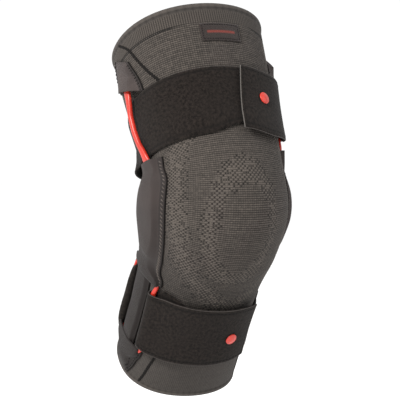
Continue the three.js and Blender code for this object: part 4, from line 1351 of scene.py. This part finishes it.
def smooth_route(stops):
    """Rows (degrees, out, slant, flare) from stop to stop in soft steps."""
    route = [full_stop(stops[0])]
    for stop in stops[1:]:
        before = np.array(route[-1])
        after = np.array(full_stop(stop))
        least = CLIMB_STEPS if abs(after[1] - before[1]) > 0.1 else 1
        count = max(least, math.ceil(abs(after[0] - before[0]) / ROUTE_STEP))
        for k in range(1, count + 1):
            t = k / count
            share = np.array([t, soft(t), t, soft(t)])
            route.append(tuple(before * (1 - share) + after * share))
    return route


def wrap_round(strap, hand, forward, out, reach, rise):
    """Rows of a route that folds round a bar, from under it to over it."""
    rows = []
    for turn in np.radians(np.linspace(-90, 90, 17)):
        degrees = beside(strap, hand, forward - reach * math.cos(turn))
        rows.append((degrees, out + rise * math.sin(turn), 0.0, 0.0))
    return rows


def turned(stops):
    """The same stops after a whole turn round the leg."""
    return [(stop[0] + 360, *stop[1:]) for stop in stops]


def upper_route():
    """Round the back, under the left bar, across the front, round the right bar and back as the tab."""
    top = BRIDGE_OUT + BRIDGE_RISE + BRIDGE_THICKNESS / 2 + CLOTH_GAP + STRAP_THICKNESS / 2
    middle = (top + STRAP_OUT) / 2
    reach = BRIDGE_WIDTH / 2 + RIGHT_BOW / 2 + 2 * CLOTH_GAP + STRAP_THICKNESS / 2
    forward = RIGHT["bar"] - RIGHT_BOW / 2
    fold = turned(wrap_round(UPPER, 1, forward, middle, reach, top - middle))
    start = beside(UPPER, 1, forward - reach - 7)
    left = 360 - SIDE_ANGLE
    under = smooth_route(
        [
            (start, STRAP_OUT),
            (200, STRAP_OUT),
            (left - 22, STRAP_OUT, 0, STRAP_FLARE),
            (left - 10, STRAP_OUT, 0, STRAP_FLARE * 0.5),
            (left + 8, STRAP_OUT),
            (360, STRAP_OUT),
            (fold[0][0], STRAP_OUT),
        ]
    )
    tab = smooth_route(
        [
            (fold[-1][0], top),
            (fold[-1][0] - TAB_DROP, TAB_OUT),
            (360 + UPPER_TAB_END, TAB_OUT, UPPER_TAB_SLANT),
        ]
    )
    return under + fold[1:] + tab[1:]


def lower_route():
    """Sewn round the left rear loop, behind the leg, over the right pocket and round the left loop."""
    top = WIDE["out"] + WIDE["thickness"] / 2 + CLOTH_GAP + STRAP_THICKNESS / 2
    reach = WIDE["thickness"] / 2 + CLOTH_GAP + STRAP_THICKNESS / 2
    middle = (top + STRAP_OUT) / 2
    fold = wrap_round(LOWER, -1, WIDE["reach"], middle, reach, top - middle)
    on_margin = SLEEVE_OUT + POCKET_WALL + CLOTH_GAP + STRAP_THICKNESS / 2

    def stop(forward, out):
        return (beside(LOWER, 1, forward), out)

    slim_top = SLIM["out"] + SLIM["thickness"] / 2 + CLOTH_GAP + STRAP_THICKNESS / 2
    slim_reach = SLIM["thickness"] / 2 + CLOTH_GAP + STRAP_THICKNESS / 2
    slim_middle = (slim_top + STRAP_OUT) / 2
    slim_fold = wrap_round(LOWER, -1, -SLIM["reach"], slim_middle, -slim_reach, slim_top - slim_middle)
    start = turned(slim_fold[::-1])
    end = start[0][0]
    sewn = smooth_route([(end - SEWN_END, SEWN_OUT), (end - SEWN_END * 0.35, SEWN_OUT), start[0]])
    bevel = ARM_COVER + POCKET_BEVEL
    margin = bevel + POCKET_BEVEL / 2
    under = smooth_route(
        [
            start[-1],
            stop(-margin - 6, STRAP_OUT),
            stop(-margin - 1, on_margin),
            stop(-bevel - 1, on_margin + 0.3),
            stop(-ARM_COVER - 1, OVER_POCKET),
            stop(ARM_COVER + 1, OVER_POCKET),
            stop(bevel + 1.5, on_margin + 0.3),
            stop(margin + 1.5, on_margin),
            stop(margin + 7, STRAP_OUT),
            (0, STRAP_OUT),
            (fold[0][0], STRAP_OUT),
        ]
    )
    tab = smooth_route([(fold[-1][0], top), (fold[-1][0] + TAB_DROP, TAB_OUT), (LOWER_TAB_END, TAB_OUT)])
    return sewn + start[1:-1] + under + fold[1:] + tab[1:]


def gathered(name, degrees):
    """Sum of a gather's soft rises at these degrees."""
    turn = (degrees + 180) % 360 - 180
    total = 0.0
    for rise, start, full, still, end in GATHERS[name]:
        share = np.minimum((turn - start) / (full - start), (end - turn) / (end - still))
        total = total + rise * soft(np.clip(share, 0, 1))
    return total


def gather_upper(degrees, out, share):
    """The strap drops beside its tab, and its lower edge is drawn up beside the right bar."""
    lower = np.maximum(-share, 0)
    rise = np.where(out > STRAP_TOP, 0.0, gathered("upper_under", degrees)) * lower
    rise = rise + gathered("upper_fold", degrees) * lower
    return rise + gathered("upper_drop", degrees), 0.0


def gather_lower(degrees, out, share):
    """The tab spreads, the layer under it climbs beside the left loop, and the sewn end fans out."""
    upper = np.maximum(share, 0)
    lower = np.maximum(-share, 0)
    tab = gathered("tab_top", degrees) * upper + gathered("tab_low", degrees) * lower
    under = gathered("under_top", degrees) * upper
    fan = gathered("sewn_fan", degrees) * share
    corner = gathered("fold_corner", degrees) * lower
    front = np.where((degrees < 45) & (out > STRAP_TOP), tab, under) + corner
    rise = np.where(degrees > 180, FAN_RISE * fan, front)
    flat = np.maximum(out - SEWN_OUT, 0) * fan**4
    return rise, np.where(degrees > 180, -flat, 0.0)


def strap_grid(strap, route, width, columns, gather):
    """Middle face of a strap: rows along its route, columns across it from below."""
    route = np.array(route)
    degrees, out, slant, flare = (route[:, k : k + 1] for k in range(4))
    share = np.linspace(-1, 1, columns)[None, :]
    rise, lift = gather(degrees, out, share)
    along = level(strap, degrees) + share * width / 2 + rise
    height = out + lift + flare * np.maximum(-share, 0)
    middle = place(along, degrees + slant * share, height)
    run = np.gradient(middle, axis=0)
    across = middle[:, -1:] - middle[:, :1]
    normal = unit(np.cross(run, np.broadcast_to(across, run.shape)))
    steps = np.linalg.norm(np.diff(middle[:, columns // 2], axis=0), axis=1)
    length = np.concatenate([[0], np.cumsum(steps)])
    cloth = on_cloth(*np.broadcast_arrays(length[:, None], share * width / 2))
    return middle, normal, cloth, length


def strap_piece(name, strap, route, gather, node):
    """Plush strap along its route, with seams beside its edges."""
    middle, normal, cloth, length = strap_grid(strap, route, STRAP_WIDTH, STRAP_COLUMNS, gather)
    x = cloth[..., 0]
    y = cloth[..., 1]
    edge = STRAP_WIDTH / 2 - np.abs(y)
    ends = np.minimum(x, length[-1] - x)
    seam = ridge(edge - SEAM_INSET, SEAM_WIDTH) + ridge(ends - SEAM_INSET, SEAM_WIDTH)
    border = np.clip((BORDER - np.minimum(edge, ends)) / BORDER, 0, 1)
    pile = (scatter(np.round(x * 1.1), np.round(y * 1.1)) - 0.5) * 0.12
    wave = 0.1 * np.sin(x / 9.0 + y / 14.0) * np.sin(x / 23.0)
    lift = pile + wave - 0.22 * np.clip(seam, 0, 1) - 0.3 * border
    half = STRAP_THICKNESS / 2
    outer = middle + normal * (half + lift)[..., None]
    inner = middle - normal * (half + pile * 0.5 - 0.3 * border)[..., None]
    # the sunk seam lines beside the edges and ends, painted darker as shade
    values = {"shade_and_tone": np.clip(seam, 0, 1) * 0.7}
    made = cloth_sheet(name, outer, inner, PLUSH, values, cloth)
    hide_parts(node)
    return middle, normal, length


def strap_trim(name, middle, normal, length, way, tab_length):
    """Thin selvage along the tab's edges and a row of stitches inside it."""
    half = STRAP_THICKNESS / 2
    chosen = length > length[-1] - tab_length
    edges = []
    inside = []
    for column, inner in zip((0, -1), SEAM_COLUMNS):
        points = middle[chosen][:, column] + normal[chosen][:, column] * (half * way * 0.55)
        edges.append((points, normal[chosen][:, column] * way))
        lifted = middle[chosen][:, inner] + normal[chosen][:, inner] * way * (half - 0.1)
        inside.append((lifted, normal[chosen][:, inner] * way))
    end = middle[-1] + normal[-1] * (half * way * 0.5)
    edges.append((end, normal[-1] * way))
    inset = np.searchsorted(length, length[-1] - SEAM_INSET)
    inside.append((middle[inset] + normal[inset] * way * (half - 0.1), normal[inset] * way))
    cords(f"{name}_selvage", edges[:2], SELVAGE_RADIUS, DULL_THREAD, 6)
    cords(f"{name}_end_selvage", edges[2:], END_SELVAGE_RADIUS, GREY_THREAD, 6)
    stitches(f"{name}_stitches", inside, DARK_THREAD, "strap_plush", **STRAP_STITCH)


def hook_piece(name, strap, end, slant, away, gather, node):
    """Hook tape under a tab, from just inside the tab's end."""
    turn = float(degrees_for(HOOK_LENGTH, level(strap, end), end, HOOK_OUT))
    margin = float(degrees_for(HOOK_MARGIN, level(strap, end), end, HOOK_OUT))
    route = smooth_route([(end + away * margin, HOOK_OUT, slant), (end + away * turn, HOOK_OUT)])
    width = STRAP_WIDTH - 2 * HOOK_MARGIN
    middle, normal, cloth, _ = strap_grid(strap, route, width, HOOK_COLUMNS, gather)
    rise = normal * (HOOK_THICKNESS / 2)
    made = cloth_sheet(name, middle + rise, middle - rise, HOOK, None, cloth)
    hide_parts(node)


BUTTON_SIDES = 48
BUTTON_PROFILE = [  # share of the radius, share of the height
    (0.02, 0.0),
    (0.93, 0.0),
    (1.0, 0.1),
    (1.0, 0.38),
    (0.95, 0.55),
    (0.86, 0.62),
    (0.78, 0.6),
    (0.72, 0.66),
    (0.6, 0.82),
    (0.4, 0.94),
    (0.2, 0.99),
    (0.02, 1.0),
]


def button_piece(name, strap, end, away, gather, node):
    """Button with a rounded rim and a raised middle, on a tab."""
    degrees = end + away * float(degrees_for(BUTTON_INSET, strap["at"], end, TAB_OUT))
    along = float(level(strap, degrees) + gather(degrees, TAB_OUT, 0.0)[0])
    base = place(along, degrees, TAB_OUT + STRAP_THICKNESS / 2 + BUTTON_GAP)
    up = leg_normal(np.array(along), np.array(degrees))
    right = unit(np.cross([0.0, 0.0, 1.0], up))
    back = np.cross(up, right)
    turn = full_turn(BUTTON_SIDES)
    ring = np.cos(turn)[:, None] * right + np.sin(turn)[:, None] * back
    rows = []
    for share, rise in BUTTON_PROFILE:
        rows.append(base + ring * (BUTTON_SHOWN / 2) * share + up * BUTTON_HEIGHT * rise)
    made = tubes(name, [np.stack(rows)], PLASTIC)
    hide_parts(node)


def straps():
    laid = strap_piece("upper_strap_cloth", UPPER, upper_route(), gather_upper, "upper_strap")
    strap_trim("upper_tab", *laid, -1, UPPER_TAB_LENGTH)
    laid = strap_piece("lower_strap_cloth", LOWER, lower_route(), gather_lower, "lower_strap")
    strap_trim("lower_tab", *laid, 1, LOWER_TAB_LENGTH)
    hook_piece("upper_hook_tape", UPPER, UPPER_TAB_END, UPPER_TAB_SLANT, 1, gather_upper, "upper_hook_patch")
    hook_piece("lower_hook_tape", LOWER, LOWER_TAB_END, 0.0, -1, gather_lower, "lower_hook_patch")
    button_piece("upper_tab_button", UPPER, UPPER_TAB_END, 1, gather_upper, "upper_button")
    button_piece("lower_tab_button", LOWER, LOWER_TAB_END, -1, gather_lower, "lower_button")


# Label


def label():
    """Bare woven patch with a coral stripe in place of its word."""
    at = TOP - LABEL_DROP
    turn = float(degrees_for(LABEL_WIDTH, at, 0, SLEEVE_OUT))
    rows = at + np.linspace(-0.5, 0.5, 33) * LABEL_HEIGHT
    columns = np.linspace(-0.5, 0.5, 65) * turn
    along, degrees = np.meshgrid(rows, columns, indexing="ij")
    x = degrees / turn * LABEL_WIDTH
    y = along - at
    edge = np.minimum(LABEL_WIDTH / 2 - np.abs(x), LABEL_HEIGHT / 2 - np.abs(y))
    border = ridge(edge - LABEL_SEAM, SEAM_WIDTH)
    rounded = np.clip((0.8 - edge) / 0.8, 0, 1)
    height = SLEEVE_OUT + LABEL_THICKNESS - 0.2 * border - 0.3 * rounded**2
    stripe = np.clip(1.6 - np.abs(y), 0, 1) * np.clip((LABEL_WIDTH * 0.36 - np.abs(x)) * 2, 0, 1)
    face = place(along, degrees, height)
    # the sunk border painted darker as shade
    values = {"shade_and_tone": border * 0.6, "stripe": stripe}
    back = place(along, degrees, SLEEVE_OUT)
    made = cloth_sheet("label", face, back, LABEL, values, on_cloth(x, y))
    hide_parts("label_patch")
    corners = [(-1, -1), (1, -1), (1, 1), (-1, 1), (-1, -1)]
    outline = []
    for (x0, y0), (x1, y1) in zip(corners[:-1], corners[1:]):
        t = np.linspace(0, 1, 24)
        across = (x0 + (x1 - x0) * t) * (LABEL_WIDTH / 2 - LABEL_SEAM) / LABEL_WIDTH * turn
        up = at + (y0 + (y1 - y0) * t) * (LABEL_HEIGHT / 2 - LABEL_SEAM)
        outline.append(leg_line(up, across, SLEEVE_OUT + LABEL_THICKNESS))
    stitches("label_stitches", outline, DARK_THREAD, "label_cloth", **LABEL_STITCH)


# Seams of the sleeve

TOP_SEAM = [(144.5, -90), (133, -78.5), (118.5, -71), (105, -64), (93.5, -57), (84, -51)]
BOTTOM_SEAM = [(-118, -47), (-129.5, -50), (-141, -53.5), (-154, -57), (-163, -60.5)]
SEAM_RADIUS = 1.05
SEAM_HALF = 1.2  # degrees between a seam and the stitches beside it
SEAM_STITCH = {"radius": 0.3, "length": 1.8, "gap": 1.2}


def sleeve_seams():
    """Seams that run from both rims towards the straps, on both sides of the front."""
    lines = []
    threads = []
    for table in (TOP_SEAM, BOTTOM_SEAM):
        path = dense(table)
        for hand in (1, -1):
            lines.append(leg_line(path[:, 0], path[:, 1] * hand, SLEEVE_WALL - 0.05))
            for side in (-SEAM_HALF, SEAM_HALF):
                threads.append(leg_line(path[:, 0], (path[:, 1] + side) * hand, SLEEVE_WALL + 0.1))
    cords("sleeve_seams", lines, SEAM_RADIUS, DARK_THREAD, 8, 0.5)
    stitches("sleeve_seam_stitches", threads, DARK_THREAD, "knit", **SEAM_STITCH)


# Camera, light and floor, in metres

CAMERA_TURN = -25.0
CAMERA_RISE = 2.0
CAMERA_DISTANCE = 1.10
CAMERA_LENS = 119.3
CAMERA_SENSOR = 36.0
CAMERA_SIDE = -0.01175
CAMERA_LIFT = 0.0029
FLOOR = -0.26
FLOOR_REACH = 12.0
SKY = 1.04
LIGHTS = [  # name, place, size, power, tint
    ("key", (-1.4, -0.7, 1.0), 0.5, 44, (1.0, 0.98, 0.95)),
    ("fill", (0.9, -0.9, 0.5), 0.8, 3, (1.0, 1.0, 1.0)),
]


def camera():
    """The photo's view."""
    turn = math.radians(CAMERA_TURN)
    rise = math.radians(CAMERA_RISE)
    back = Vector((math.sin(turn) * math.cos(rise), -math.cos(turn) * math.cos(rise), math.sin(rise)))
    right = Vector((math.cos(turn), math.sin(turn), 0))
    up = back.cross(right)
    data = bpy.data.cameras.new("camera")
    data.lens = CAMERA_LENS
    data.sensor_width = CAMERA_SENSOR
    data.clip_end = 50
    made = added("camera", data)
    made.location = back * CAMERA_DISTANCE + right * CAMERA_SIDE + up * CAMERA_LIFT
    made.rotation_euler = back.to_track_quat("Z", "Y").to_euler()
    bpy.context.scene.camera = made


def area_light(name, place_at, size, power, tint):
    """Square light that faces the knee."""
    data = bpy.data.lights.new(name, "AREA")
    data.size = size
    data.energy = power
    data.color = tint
    made = added(name, data)
    made.location = place_at
    made.rotation_euler = Vector(place_at).to_track_quat("Z", "Y").to_euler()


def studio():
    """White surroundings, two lights and a pale floor."""
    world = bpy.data.worlds.new("studio")
    world.use_nodes = True
    sky = world.node_tree.nodes["Background"]
    sky.inputs["Color"].default_value = (1, 1, 1, 1)
    sky.inputs["Strength"].default_value = SKY
    bpy.context.scene.world = world
    bpy.context.scene.view_settings.view_transform = "Standard"
    for light in LIGHTS:
        area_light(*light)
    mesh = bpy.data.meshes.new("floor")
    corners = [(-1, -1), (1, -1), (1, 1), (-1, 1)]
    points = [(x * FLOOR_REACH, y * FLOOR_REACH, FLOOR) for x, y in corners]
    mesh.from_pydata(points, [], [(0, 1, 2, 3)])
    kit = Nodes("floor", 0.9, specular=0.1)
    grain = kit.noise(kit.place(), 3.0)
    kit.paint(kit.mix(grain, (0.97, 0.97, 0.97, 1), (0.98, 0.98, 0.98, 1)))
    mesh.materials.append(kit.material)
    floor = added("floor", mesh)


camera()
studio()
knitted_sleeve()
for part in (LEFT, RIGHT):
    pocket_seams(part, *pocket_pieces(part))
    hinge_stay(part)
straps()
label()
sleeve_seams()
